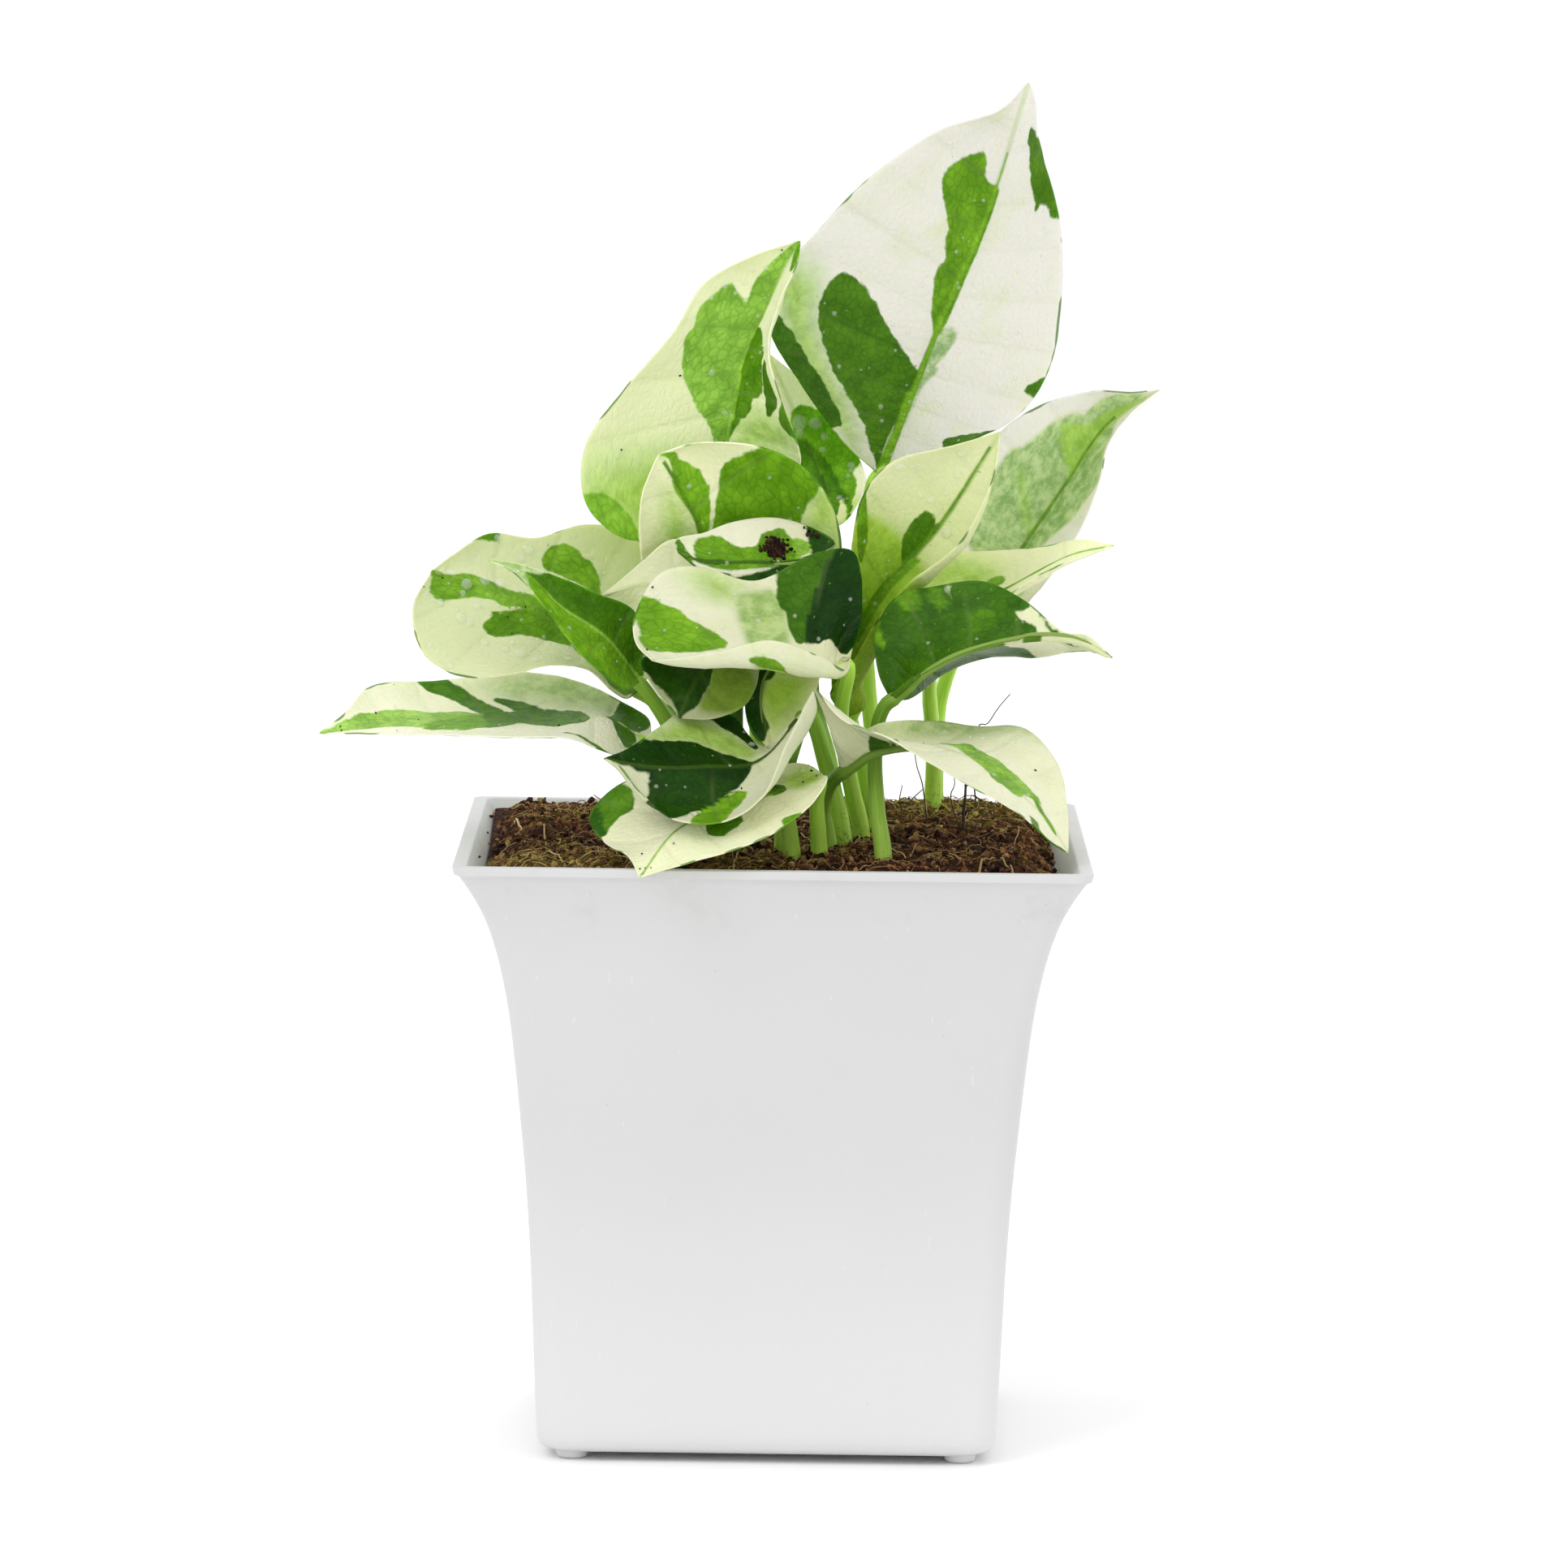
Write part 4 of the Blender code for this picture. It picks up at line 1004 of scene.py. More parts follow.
        "left": [(-3.5, -24, 134), (-3, -28, 129), (-5, -31.5, 125), (-10, -34.5, 123)],
        "right": [(-10, -24, 136), (-17, -29, 135.5), (-22, -32, 132), (-20, -34, 128), (-17.5, -35, 125)],
        "cup": (1.5, 1),
    },
    "leaf19": {
        "midrib": [(2.5, -23, 133.5), (-1.5, -24.5, 129), (-2, -27.5, 123), (-0.5, -29.5, 117.5)],
        "left": [(7, -25, 132), (6.5, -27, 127), (4, -28.5, 122.5), (1.5, -29.5, 119)],
        "right": [(-1, -20.5, 133.5), (-4, -21.5, 129), (-5, -24.5, 124), (-3.5, -28, 119.5)],
        "cup": (1.5, 1),
    },
}

# where each stalk stands in the mix, then the points that it passes up to its blade
stalkPaths = {
    "stalk01": [(16.5, 14), (16.5, 9, 112.5), (15, 5, 131), (15, 7, 147), (16, 9.5, 159)],
    "stalk02": [(1.5, 12), (0.5, 8, 116.5), (-2, 4, 130.5), (-7.5, 0, 144.5), (-10.5, -1, 155)],
    "stalk03": [(11.5, -8), (8.5, -10.5, 113), (5.5, -14.5, 122.5), (0, -12, 130), (-7, -6.5, 133.5)],
    "stalk04": [(13.5, 23), (13, 17, 111.5), (12, 11, 123.5), (10, 4, 139), (8.5, 2, 149.5)],
    "stalk05": [(16, 8), (15, 2, 109.5), (14, -3, 116), (12.5, -4, 120.5)],
    "stalk06": [(10.5, 1), (9, -5, 113), (6, -11, 125), (6.5, -15, 138), (7, -17.5, 147)],
    "stalk07": [(14.5, -2), (13, -7, 108), (11.5, -14, 116), (11, -20, 124), (12, -25, 130.5)],
    "stalk08": [(27.5, 38), (27.5, 36, 110), (28, 34, 119), (30, 29, 126.5), (33.5, 25, 134)],
    "stalk09": [(27, 30), (27, 26, 111), (26, 17, 121.5), (25.5, 8, 128.5), (24, 5, 131.5)],
    "stalk10": [(18, -27), (17, -26, 107), (16.5, -23.5, 115.5), (17, -22.5, 121.5), (18.5, -23, 125)],
    "stalk11": [(9, -13), (8, -16, 106), (9, -21, 110.5), (11, -27.5, 113.5)],
    "stalk12": [(-12, -2), (-16, -6, 115), (-18, -10, 121), (-22, -11, 124.5)],
    "stalk13": [(-13, -14), (-15, -17, 112), (-17.5, -20, 120), (-22, -22.5, 127)],
    "stalk14": [(-3, -6), (-3, -12, 118.5), (-4, -16, 132.5), (-6.5, -20.5, 139.5)],
    "stalk15": [(-11, -24), (-16, -24, 111), (-21, -22, 117)],
    "stalk16": [(3, -27), (1.5, -29, 112), (2.5, -30.5, 116), (4.5, -31.5, 123)],
    "stalk17": [(7.5, -25), (7, -30, 109), (7.5, -34.5, 112.5)],
    "stalk18": [(-6, -16), (-6.5, -19, 119.5), (-6.5, -20, 128), (-7, -21, 132.5)],
    "stalk19": [(1.5, -18), (2, -20, 117), (2.5, -20, 126), (3, -20.5, 132)],
}

# markings of each blade.
# tint: from 0, white, to 1, cream. lift: painted light, how much lighter or darker the whole blade is painted
# for the light it gets. deep: how dark its stalk is higher up
# ribs: coloured stretches of midrib, each from and to a height, half width in mm at both ends, tone
# green: tone from 0, dark, to 1, light, and an outline. cream: outlines left bare in the green
# pale: warmth from 0, grey green, to 1, yellow green, softness in mm, and an outline. The yellow green is
# partly the blade's own colour and partly painted light coming through the blade
# The points of an outline are places on the blade in hundredths: across it, -100 at the left edge, 0 at the
# midrib and 100 at the right edge, and up it, 0 at the base and 100 at the tip. Points past the edges carry a
# marking over the edge
leafPaint = {
    "leaf01": {
        "tint": 0.0, "lift": 0.94,
        "ribs": [(0, 0.62, 1, 0.3, 0.74), (0.62, 0.86, 0.3, 0.16, 0.8)],
        "green": [
            (0.62, [(-38, 83), (-29, 83), (-15, 79), (4, 79), (4, 77), (4, 43), (-15, 57), (-16, 60), (-13, 61),
                (-14, 62), (-19, 64), (-24, 68), (-50, 74), (-56, 76), (-47, 81)]),
            (0.43, [(-70, 48), (-66, 49), (-58, 49), (-48, 48), (-16, 40), (4, 34), (-23, -4), (-39, 18),
                (-54, 26), (-63, 36), (-69, 40), (-72, 45)]),
            (0.45, [(52, 92), (112, 87), (112, 83), (112, 76), (112, 72), (87, 73), (88, 75), (79, 76),
                (68, 76), (66, 74)]),
            (0.42, [(112, 43), (85, 38), (112, 37), (112, 33), (112, 30), (112, 28), (112, 31), (112, 38)]),
            (0.38, [(112, 16), (71, 19), (74, 21), (112, 29), (112, 28), (112, 19)]),
            (0.34, [(-112, 40), (-79, 33), (-68, 15), (-112, 12), (-112, 19), (-112, 27), (-112, 34),
                (-112, 38)]),
        ],
        "pale": [
            (0, 0.5, [(0, 48), (10, 49), (17, 47), (13, 41), (8, 39), (13, 38), (5, 32), (6, 17), (-1, 42)]),
            (0.75, 5, [(-105, 42), (-96, 47), (-78, 46), (-72, 40), (-62, 33), (-44, 14), (-105, 1), (-85, 24),
                (-90, 34)]),
        ],
    },
    "leaf02": {
        "tint": 0.62, "lift": 1.05,
        "green": [
            (0.5, [(0, 72), (20, 72), (48, 67), (52, 56), (46, 52), (29, 50), (28, 47), (20, 43), (13, 42),
                (0, 30)]),
            (0.86, [(-65, 81), (-59, 82), (-40, 79), (-32, 79), (-19, 76), (-24, 79), (-32, 88), (-42, 104),
                (112, 104), (-20, 104), (2, 82), (7, 48), (3, 26), (-4, 27), (-9, 39), (-29, 51), (-60, 63),
                (-72, 67), (-76, 69), (-72, 71), (-81, 74), (-80, 76)]),
            (0.8, [(-112, 36), (-112, 31), (-112, 29), (-112, 18), (-84, 23), (-81, 31)]),
            (0.4, [(-112, 41), (-112, 40), (-112, 38), (-112, 37)]),
            (0.5, [(-4, 67), (20, 70), (48, 67), (52, 56), (46, 52), (29, 50), (28, 47), (20, 43), (13, 50),
                (20, 64)]),
            (0.36, [(61, 65), (84, 53), (78, 50), (63, 47), (57, 47), (56, 57)]),
            (0.45, [(112, 54), (112, 47), (112, 43), (112, 41), (85, 43), (77, 47)]),
            (0.62, [(-4, 104), (112, 104), (87, 93), (45, 91), (24, 94)]),
        ],
        "pale": [
            (0.85, 6, [(-105, 36), (-86, 39), (-57, 37), (-29, 33), (-19, 24), (-78, 13), (-105, 18),
                (-95, 25)]),
            (0.7, 5, [(8, 40), (49, 48), (105, 41), (67, 35), (9, 28)]),
        ],
    },
    "leaf03": {
        "tint": 0.7, "lift": 1.18, "deep": 0.3,
        "ribs": [(0, 0.95, 0.7, 0.35, 0.45)],
        "green": [
            (0.6, [(62, 77), (86, 76), (112, 75), (112, 67), (112, 64), (112, 61), (112, 60), (85, 54),
                (74, 50), (69, 45), (41, 46), (6, 55), (15, 65), (41, 75)]),
            (0.68, [(43, 93), (27, 91), (32, 83), (27, 76), (20, 72), (1, 59), (-6, 60), (1, 70), (-11, 84),
                (15, 92), (73, 104)]),
        ],
        "pale": [
            (0.8, 4, [(-9, 69), (-7, 79), (-16, 63), (-30, 55), (-59, 57), (-53, 71), (-19, 84)]),
            (0.85, 4, [(98, 59), (105, 57), (105, 47), (93, 43), (72, 44)]),
        ],
    },
    "leaf04": {
        "tint": 0.5, "lift": 1.5, "deep": 0.7,
        "ribs": [(0, 0.6, 0.6, 0.3, 0.2)],
        "green": [
            (0.45, [(-15, 56), (20, 44), (35, 30), (33, 10), (-20, 10), (-45, 30), (-40, 50)]),
            (0.6, [(-9, 70), (-2, 74), (25, 74), (46, 72), (60, 70), (59, 68), (86, 66), (112, 59), (112, 54),
                (112, 41), (72, 38), (77, 34), (71, 16), (112, 7), (33, 25), (20, 43), (-8, 53), (-20, 56),
                (-11, 59), (-9, 61), (-13, 63)]),
            (0.36, [(-11, 60), (-3, 61), (10, 58), (35, 45), (41, 28), (112, 7), (33, 25), (20, 43), (-8, 53),
                (-20, 56)]),
        ],
        "pale": [
            (0.9, 2, [(69, 19), (105, 20), (105, 17), (105, 7), (105, 4)]),
        ],
    },
    "leaf05": {
        "tint": 0.8, "lift": 0.97,
        "ribs": [(0.58, 0.95, 0.35, 0.2, 0.62)],
        "green": [
            (0.62, [(-64, 48), (-84, 50), (-112, 64), (-67, 55), (-58, 49)]),
            (0.5, [(-6, 59), (-21, 63), (-27, 69), (-24, 71), (-17, 72), (-10, 70), (-13, 73), (-4, 71),
                (1, 59)]),
            (0.7, [(10, 62), (-2, 29), (-19, 31), (-30, 34), (-33, 40), (-8, 39), (-9, 43), (1, 57), (4, 61)]),
        ],
        "pale": [
            (1, 1.6, [(-160, -5), (160, -5), (150, 50), (40, 60), (-10, 63), (-50, 62), (-160, 52)]),
            (1, 9, [(-90, 56), (-47, 55), (-7, 59), (4, 52), (-43, 26), (-105, 24)]),
        ],
    },
    "leaf06": {
        "tint": 0.45, "deep": 0.5,
        "ribs": [(0, 0.9, 0.5, 0.4, 0.2)],
        "green": [
            (0.6, [(81, 85), (82, 74), (39, 65), (35, 55), (69, 47), (84, 39), (65, 36), (58, 32), (-7, 30),
                (-41, 90)]),
            (0.84, [(66, 32), (62, 27), (63, 23), (41, 21), (-7, 30)]),
            (0.12, [(112, 28), (112, 18), (87, 11), (-12, 6), (38, 20)]),
            (0.2, [(-112, 93), (-3, 29), (-37, 29), (-67, 49), (-75, 65), (-57, 77), (-112, 86)]),
            (0.42, [(112, 94), (63, 92), (-36, 93), (-112, 93), (-3, 104)]),
        ],
    },
    "leaf07": {
        "tint": 0.5, "lift": 0.96,
        "green": [
            (0.04, [(30, 3), (112, 2), (112, 33), (35, 33), (30, 20)]),
            (0.68, [(112, 85), (51, 75), (43, 73), (17, 66), (11, 85), (53, 94), (68, 93), (88, 88),
                (112, 86)]),
            (0.36, [(88, 46), (112, 46), (112, 44), (112, 31), (112, 30), (53, 34), (25, 35), (25, 40),
                (55, 42), (70, 45)]),
            (0.04, [(112, 31), (112, 29), (112, 28), (112, 26), (112, 23), (34, 20), (22, 28), (24, 35),
                (40, 35), (53, 34), (82, 30)]),
            (0.62, [(-73, 63), (-73, 57), (-68, 52), (-59, 49), (-27, 46), (-30, 50)]),
            (0.6, [(112, 77), (112, 76), (112, 71), (112, 73)]),
        ],
        "pale": [
            (0.35, 1.2, [(88, 56), (88, 46), (27, 40), (-98, 61), (66, 58), (76, 58)]),
            (0.8, 4, [(95, 68), (97, 62), (96, 57), (75, 58), (70, 64), (82, 68)]),
        ],
    },
    "leaf08": {
        "tint": 0.0, "lift": 1.22,
        "ribs": [(0.1, 0.85, 0.4, 0.2, 0.8)],
        "pale": [
            (0.5, 0.9, [(-55, 58), (-33, 56), (-13, 51), (12, 45), (5, 40), (-15, 42), (-58, 53)]),
            (0.5, 0.9, [(-21, 62), (-5, 60), (8, 58), (8, 60), (-11, 62)]),
            (0.85, 0.9, [(-58, 71), (-61, 75), (-35, 79), (-36, 88), (-11, 98), (27, 84), (7, 62), (-42, 68)]),
            (0.12, 0.8, [(-67, 24), (-76, 54), (-74, 58), (-66, 59), (-66, 76), (-43, 79), (-91, 92), (-32, 98),
                (35, 82), (105, 69), (59, 56), (16, 34)]),
            (0.1, 0.8, [(31, 18), (39, 24), (59, 29), (66, 21), (55, 18)]),
        ],
    },
    "leaf09": {
        "tint": 0.7, "lift": 1.16,
        "ribs": [(0, 0.75, 0.5, 0.4, 0.6), (0.75, 0.97, 0.3, 0.2, 0.75)],
        "green": [
            (0.62, [(-28, 47), (-41, 50), (-40, 55), (-22, 54), (-15, 50)]),
        ],
        "pale": [
            (0.75, 5, [(-105, 27), (-85, 47), (-64, 54), (-23, 50), (-39, 35), (-96, 23)]),
        ],
    },
    "leaf10": {
        "tint": 0.6, "deep": 0.7,
        "green": [
            (0.33, [(-110, -5), (110, -5), (110, 84), (-110, 84)]),
            (0.64, [(-112, 23), (-112, 24), (-88, 21), (-81, 17), (-112, 17), (-112, 20)]),
            (0.56, [(-112, 32), (-112, 38), (-83, 38), (-78, 34), (-88, 30)]),
            (0.56, [(-112, 41), (-87, 44), (-78, 45), (-74, 42), (-84, 39)]),
            (0.43, [(-60, 49), (-69, 56), (-60, 61), (-35, 58), (-36, 50)]),
        ],
        "cream": [
            [(-70, 64), (-112, 74), (-2, 85), (50, 80), (-47, 73), (-70, 74)],
            [(-1, 62), (-11, 69), (38, 74), (60, 78), (112, 80), (112, 64), (112, 60), (60, 63), (43, 59)],
            [(-86, 85), (-112, 89), (-112, 93), (-112, 104), (112, 80)],
            [(-112, 45), (-112, 47), (-83, 46), (-83, 45)],
        ],
    },
    "leaf11": {
        "tint": 0.55, "deep": 0.75,
        "green": [
            (0.84, [(-37, 41), (-25, 49), (-39, 50), (-25, 58), (-28, 68), (-33, 78), (-32, 82), (-10, 78),
                (14, 78), (19, 75), (-13, 51)]),
            (0.64, [(14, 68), (-9, 68), (-16, 71), (-15, 75), (10, 78), (22, 72)]),
            (0.62, [(-33, 78), (9, 94), (13, 90), (-20, 81)]),
            (0.4, [(61, 85), (52, 87), (112, 90), (60, 104), (112, 104), (112, 92), (112, 88)]),
            (0.3, [(13, 24), (63, 38), (-58, 20), (112, 52), (-10, 29), (-3, 21), (4, 20)]),
        ],
        "pale": [
            (0.1, 5, [(-91, 16), (-99, 20), (-105, 40), (-98, 55), (-105, 62), (-54, 31)]),
        ],
    },
    "leaf12": {
        "tint": 0.75, "lift": 0.9,
        "green": [
            (0.78, [(71, 64), (80, 63), (81, 60), (80, 57), (75, 54), (64, 51), (67, 49), (62, 47), (56, 45),
                (41, 41), (49, 55), (56, 61)]),
            (0.79, [(-36, 104), (19, 89), (19, 84), (12, 71), (21, 67), (14, 58), (3, 58), (-1, 68), (-9, 71),
                (-8, 77), (-24, 83), (-48, 85), (-57, 88), (-59, 91)]),
            (0.61, [(-21, 72), (17, 57), (9, 29), (18, 12), (-112, -4), (-76, 8), (-15, 38), (-24, 55),
                (-28, 60), (-39, 64), (-41, 68), (-36, 70), (-23, 70)]),
            (0.6, [(112, 87), (112, 84), (112, 80), (112, 78), (87, 79)]),
            (0.5, [(-112, 104), (80, 104), (-27, 104), (-73, 104)]),
        ],
    },
    "leaf13": {
        "tint": 0.5, "lift": 1.12, "deep": 0.45,
        "ribs": [(0.02, 0.72, 0.35, 0.22, 1)],
        "green": [
            (0.66, [(-112, -5), (10, -5), (10, 86), (-50, 80), (-112, 74)]),
            (0.42, [(0, -5), (112, -5), (112, 72), (50, 78), (0, 86)]),
        ],
        "pale": [
            (0.1, 0.6, [(-110, 70), (110, 70), (110, 104), (-110, 104)]),
        ],
    },
    "leaf14": {
        "tint": 0.7,
    },
    "leaf15": {
        "tint": 0.4, "lift": 1.12,
        "green": [
            (0.92, [(-112, 104), (74, 95), (45, 78), (37, 58), (11, 58), (-27, 59), (-15, 91)]),
            (0.62, [(6, 75), (34, 57), (3, 56), (-32, 59), (-49, 72)]),
            (0.42, [(37, 58), (29, 51), (40, 45), (34, 35), (42, 34), (36, 30), (-13, 26), (-21, 42), (10, 50),
                (-25, 55), (-27, 59)]),
            (0.38, [(112, 70), (112, 64), (37, 52), (27, 53), (37, 58), (78, 64), (80, 67)]),
            (0.38, [(63, 53), (60, 50), (42, 41), (24, 46), (51, 51)]),
            (0.38, [(112, 20), (112, 14), (112, 7), (-36, 6), (-74, 12), (-30, 16), (-9, 17), (0, 20),
                (112, 18)]),
            (0.38, [(-61, 35), (-73, 29), (-112, 18), (-112, 19)]),
        ],
        "pale": [
            (0.3, 6, [(90, 53), (105, 28), (105, 21), (52, 21), (62, 47)]),
        ],
    },
    "leaf16": {
        "tint": 0.6, "lift": 0.81, "deep": 0.8,
        "ribs": [(0.05, 0.8, 0.4, 0.3, 0.05)],
        "green": [
            (0.06, [(112, 59), (112, 54), (112, 49), (112, 43), (112, 38), (112, 33), (25, 35), (67, 40),
                (75, 44)]),
            (0.06, [(37, 104), (112, 90), (112, 83), (87, 77), (46, 57), (3, 42), (-10, 45), (-26, 50),
                (-61, 68), (-112, 76), (-112, 81), (-9, 81), (-6, 85), (-11, 87), (-1, 90), (-11, 94)]),
            (0.14, [(-9, 81), (-5, 74), (-10, 62), (-18, 51), (-26, 50), (-61, 68), (-112, 76), (-112, 81)]),
            (0.7, [(-112, 69), (-60, 65), (-37, 53), (-43, 47), (-86, 58), (-112, 63), (-112, 67)]),
        ],
        "pale": [
            (0.8, 2, [(97, 85), (105, 79), (91, 59), (75, 44), (26, 35), (3, 42), (46, 57), (87, 77)]),
        ],
    },
    "leaf17": {
        "tint": 0.7, "lift": 1.08,
        "ribs": [(0.35, 0.98, 0.2, 0.3, 0.85)],
        "green": [
            (0.25, [(112, 60), (112, 58), (112, 57), (88, 65), (88, 72), (112, 77), (112, 73), (112, 68),
                (112, 64), (112, 62)]),
            (0.5, [(112, 54), (112, 52), (87, 54), (71, 60), (75, 62), (88, 72), (88, 65), (112, 57)]),
            (0.42, [(-15, 65), (-18, 61), (-12, 55), (-1, 51), (-19, 52), (-32, 53), (-41, 56), (-50, 64),
                (-32, 67)]),
            (0.42, [(0, 50), (11, 42), (1, 42), (-10, 44), (-9, 48)]),
            (0.4, [(11, 38), (29, 27), (14, 23), (-7, 27), (-4, 34)]),
            (0.55, [(-87, 42), (-76, 37), (-112, 33), (-112, 37), (-112, 42)]),
        ],
        "pale": [
            (0.85, 2, [(5, 25), (83, 7), (105, 3), (-105, 0), (-99, 5), (-38, 15), (-18, 23)]),
        ],
    },
    "leaf18": {
        "tint": 0.9, "lift": 0.55, "deep": 1.0,
        "green": [
            (0.26, [(112, 60), (8, 49), (-13, 55), (-29, 71), (-40, 88), (16, 104), (85, 73)]),
        ],
        "pale": [
            (1, 1, [(8, 49), (-68, 23), (-94, 35), (-105, 46), (-105, 57), (-105, 70), (-52, 88), (-13, 55)]),
        ],
    },
    "leaf19": {
        "tint": 0.9, "lift": 1.1, "deep": 0.7,
        "green": [
            (0.1, [(112, 31), (-8, 35), (-7, 45), (27, 48), (34, 54), (11, 70), (-19, 85), (81, 92), (112, 79),
                (112, 67), (69, 46), (112, 36)]),
        ],
        "pale": [
            (0.95, 3, [(-8, 35), (-82, 34), (-72, 67), (-22, 85), (28, 54)]),
        ],
    },
}

leafBuild = {
    "cell": 0.85, "thick": 0.45, "edgeThick": 0.22, "edgeFade": 2.0,
    "grooveDepth": 0.28, "grooveWidth": 0.8, "veinDepth": 0.07, "veinWidth": 0.5, "veinSpacing": 7.0,
    "quilt": 0.18, "ruffle": 0.30, "patchGrowth": 0.30, "farOut": -20.0,
    # how far the midrib's rows lag behind, the width at which a half is fully cupped, and how much later the
    # side veins of the right half start
    "lag": 0.12, "cupWidth": 8.0, "veinShift": 0.4,
}


def leafEdge(shape, side):
    return [shape["midrib"][0]] + shape[side] + [shape["midrib"][-1]]


def leafSurface(shape, rows, columns):
    # the blade's upper face: rows from base to tip, columns from the left edge over the midrib to the right
    # edge. The midrib lags behind the edges, so that the rows lean to the tip as side veins do
    step = np.linspace(0.0, 1.0, rows + 1)
    rib = alongPath(shape["midrib"], step - leafBuild["lag"] * np.sin(math.pi * step) * (1.0 - 0.3 * step))
    forward = np.gradient(rib, axis=0)
    share = np.linspace(0.0, 1.0, columns + 1)[1:]
    halves, widths = [], []
    for side, cup in zip(("left", "right"), shape["cup"]):
        across = alongPath(leafEdge(shape, side), step) - rib
        width = np.linalg.norm(across, axis=1)
        up = np.cross(-across if side == "left" else across, forward)
        up = up / np.maximum(np.linalg.norm(up, axis=1), 1e-6)[:, None]
        sag = cup * 4.0 * share * (1.0 - share) * np.minimum(width / leafBuild["cupWidth"], 1.0)[:, None]
        halves.append(rib[:, None] + across[:, None] * share[:, None] - up[:, None] * sag[:, :, None])
        widths.append(width)
    points = np.concatenate([halves[0][:, ::-1], rib[:, None], halves[1]], axis=1)
    return points, rib, widths


def surfaceNormals(points):
    normals = np.cross(np.gradient(points, axis=1), np.gradient(points, axis=0))
    normals = normals / np.maximum(np.linalg.norm(normals, axis=2, keepdims=True), 1e-9)
    normals[0] = normals[1:4].mean(axis=(0, 1))
    normals[-1] = normals[-4:-1].mean(axis=(0, 1))
    return normals / np.maximum(np.linalg.norm(normals, axis=2, keepdims=True), 1e-9)


def insideBy(x, y, outline):
    # how far places lie inside a closed outline, and below zero outside it
    inside = np.zeros(x.shape, bool)
    nearest = np.full(x.shape, 1e3)
    for (ax, ay), (bx, by) in zip(outline, outline[1:] + outline[:1]):
        crosses = (ay > y) != (by > y)
        slope = (bx - ax) / (by - ay) if by != ay else 0.0
        inside ^= crosses & (x < slope * (y - ay) + ax)
        square = max((bx - ax) ** 2 + (by - ay) ** 2, 1e-9)
        t = np.clip(((x - ax) * (bx - ax) + (y - ay) * (by - ay)) / square, 0.0, 1.0)
        nearest = np.minimum(nearest, np.hypot(x - ax - t * (bx - ax), y - ay - t * (by - ay)))
    return np.where(inside, nearest, -nearest)


def rounded(outline):
    # a closed outline with its corners cut
    cut = []
    for (ax, ay), (bx, by) in zip(outline, outline[1:] + outline[:1]):
        cut += [(0.8 * ax + 0.2 * bx, 0.8 * ay + 0.2 * by), (0.2 * ax + 0.8 * bx, 0.2 * ay + 0.8 * by)]
    return cut


def layOut(shape):
    # the blade's surface, with the place of each of its points: u from -1 at the left edge to 1 at the right, v
    # from 0 at the base to 1 at the tip, the flat millimetres across from the midrib and along it, and how far
    # it is to the edge, the midrib and the nearest side vein
    length = pathLength(shape["midrib"])
    widest = max(pathLength(leafEdge(shape, side)) for side in ("left", "right"))
    rows = int(max(length, widest * 0.8) / leafBuild["cell"]) + 6
    widths = leafSurface(shape, rows, 6)[2]
    columns = int(max(widths[0].max(), widths[1].max()) / leafBuild["cell"]) + 4
    points, rib, widths = leafSurface(shape, rows, columns)
    u = np.linspace(-1.0, 1.0, 2 * columns + 1)[None, :].repeat(rows + 1, 0)
    v = np.linspace(0.0, 1.0, rows + 1)[:, None].repeat(2 * columns + 1, 1)
    half = np.where(u < 0, widths[0][:, None], widths[1][:, None])
    veins = max(3, round(length / leafBuild["veinSpacing"]))
    phase = (v * veins + np.where(u < 0, 0.0, leafBuild["veinShift"])) % 1.0
    return SimpleNamespace(
        points=points, normals=surfaceNormals(points), rib=rib, widths=widths, length=length, rows=rows,
        columns=columns, u=u, v=v, across=u * half, along=v * length, phase=phase, fromRib=np.abs(u * half),
        fromEdge=np.minimum((1.0 - np.abs(u)) * half, np.minimum(v, 1.0 - v) * length * 2.0),
        fromVein=np.minimum(phase, 1.0 - phase) * length / veins)


def reliefOf(blade, number):
    # a groove over the midrib, side veins sunk between low swellings, a lightly ruffled edge
    build, u, v = leafBuild, blade.u, blade.v
    fadeOut = np.clip(blade.fromRib / 2.0, 0, 1) * np.clip(blade.fromEdge / 2.5, 0, 1)
    relief = -build["grooveDepth"] * np.exp(-(blade.fromRib / build["grooveWidth"]) ** 2) * (1.0 - 0.8 * v)
    relief -= build["veinDepth"] * np.exp(-(blade.fromVein / build["veinWidth"]) ** 2) * fadeOut
    relief += build["quilt"] * np.sin(math.pi * blade.phase) ** 2 * fadeOut
    apart = Vector((18.6 + 7.7 * number, 0, 0))   # no two leaves are ruffled alike
    places = [Vector(point) for point in blade.points.reshape(-1, 3)]
    coarse = np.array([noise.noise(place * 0.13 + apart) for place in places])
    fine = np.array([noise.noise(place * 0.45 + apart) for place in places])
    ruffle = (coarse * 0.8 + fine * 0.35).reshape(relief.shape)
    fromEnds = np.clip(np.minimum(v, 1 - v) * 6, 0, 1)
    return relief + build["ruffle"] * ruffle * (0.35 + 0.65 * np.abs(u) ** 2) * fromEnds


def fieldOf(blade, outline):
    # millimetres inside an outline, below zero outside it
    flat = []
    heights = np.linspace(0.0, 1.0, blade.rows + 1)
    corners = rounded([(side / 100, height / 100) for side, height in outline])
    for (side, place), (nextSide, nextPlace) in zip(corners, corners[1:] + corners[:1]):
        steps = 1 + int(abs(nextPlace - place) / 0.06)   # follows the curve of the blade's edge
        for share in np.arange(steps) / steps:
            s, p = side + (nextSide - side) * share, place + (nextPlace - place) * share
            flat.append((s * float(np.interp(p, heights, blade.widths[0 if s < 0 else 1])), p * blade.length))
    return insideBy(blade.across, blade.along, flat)


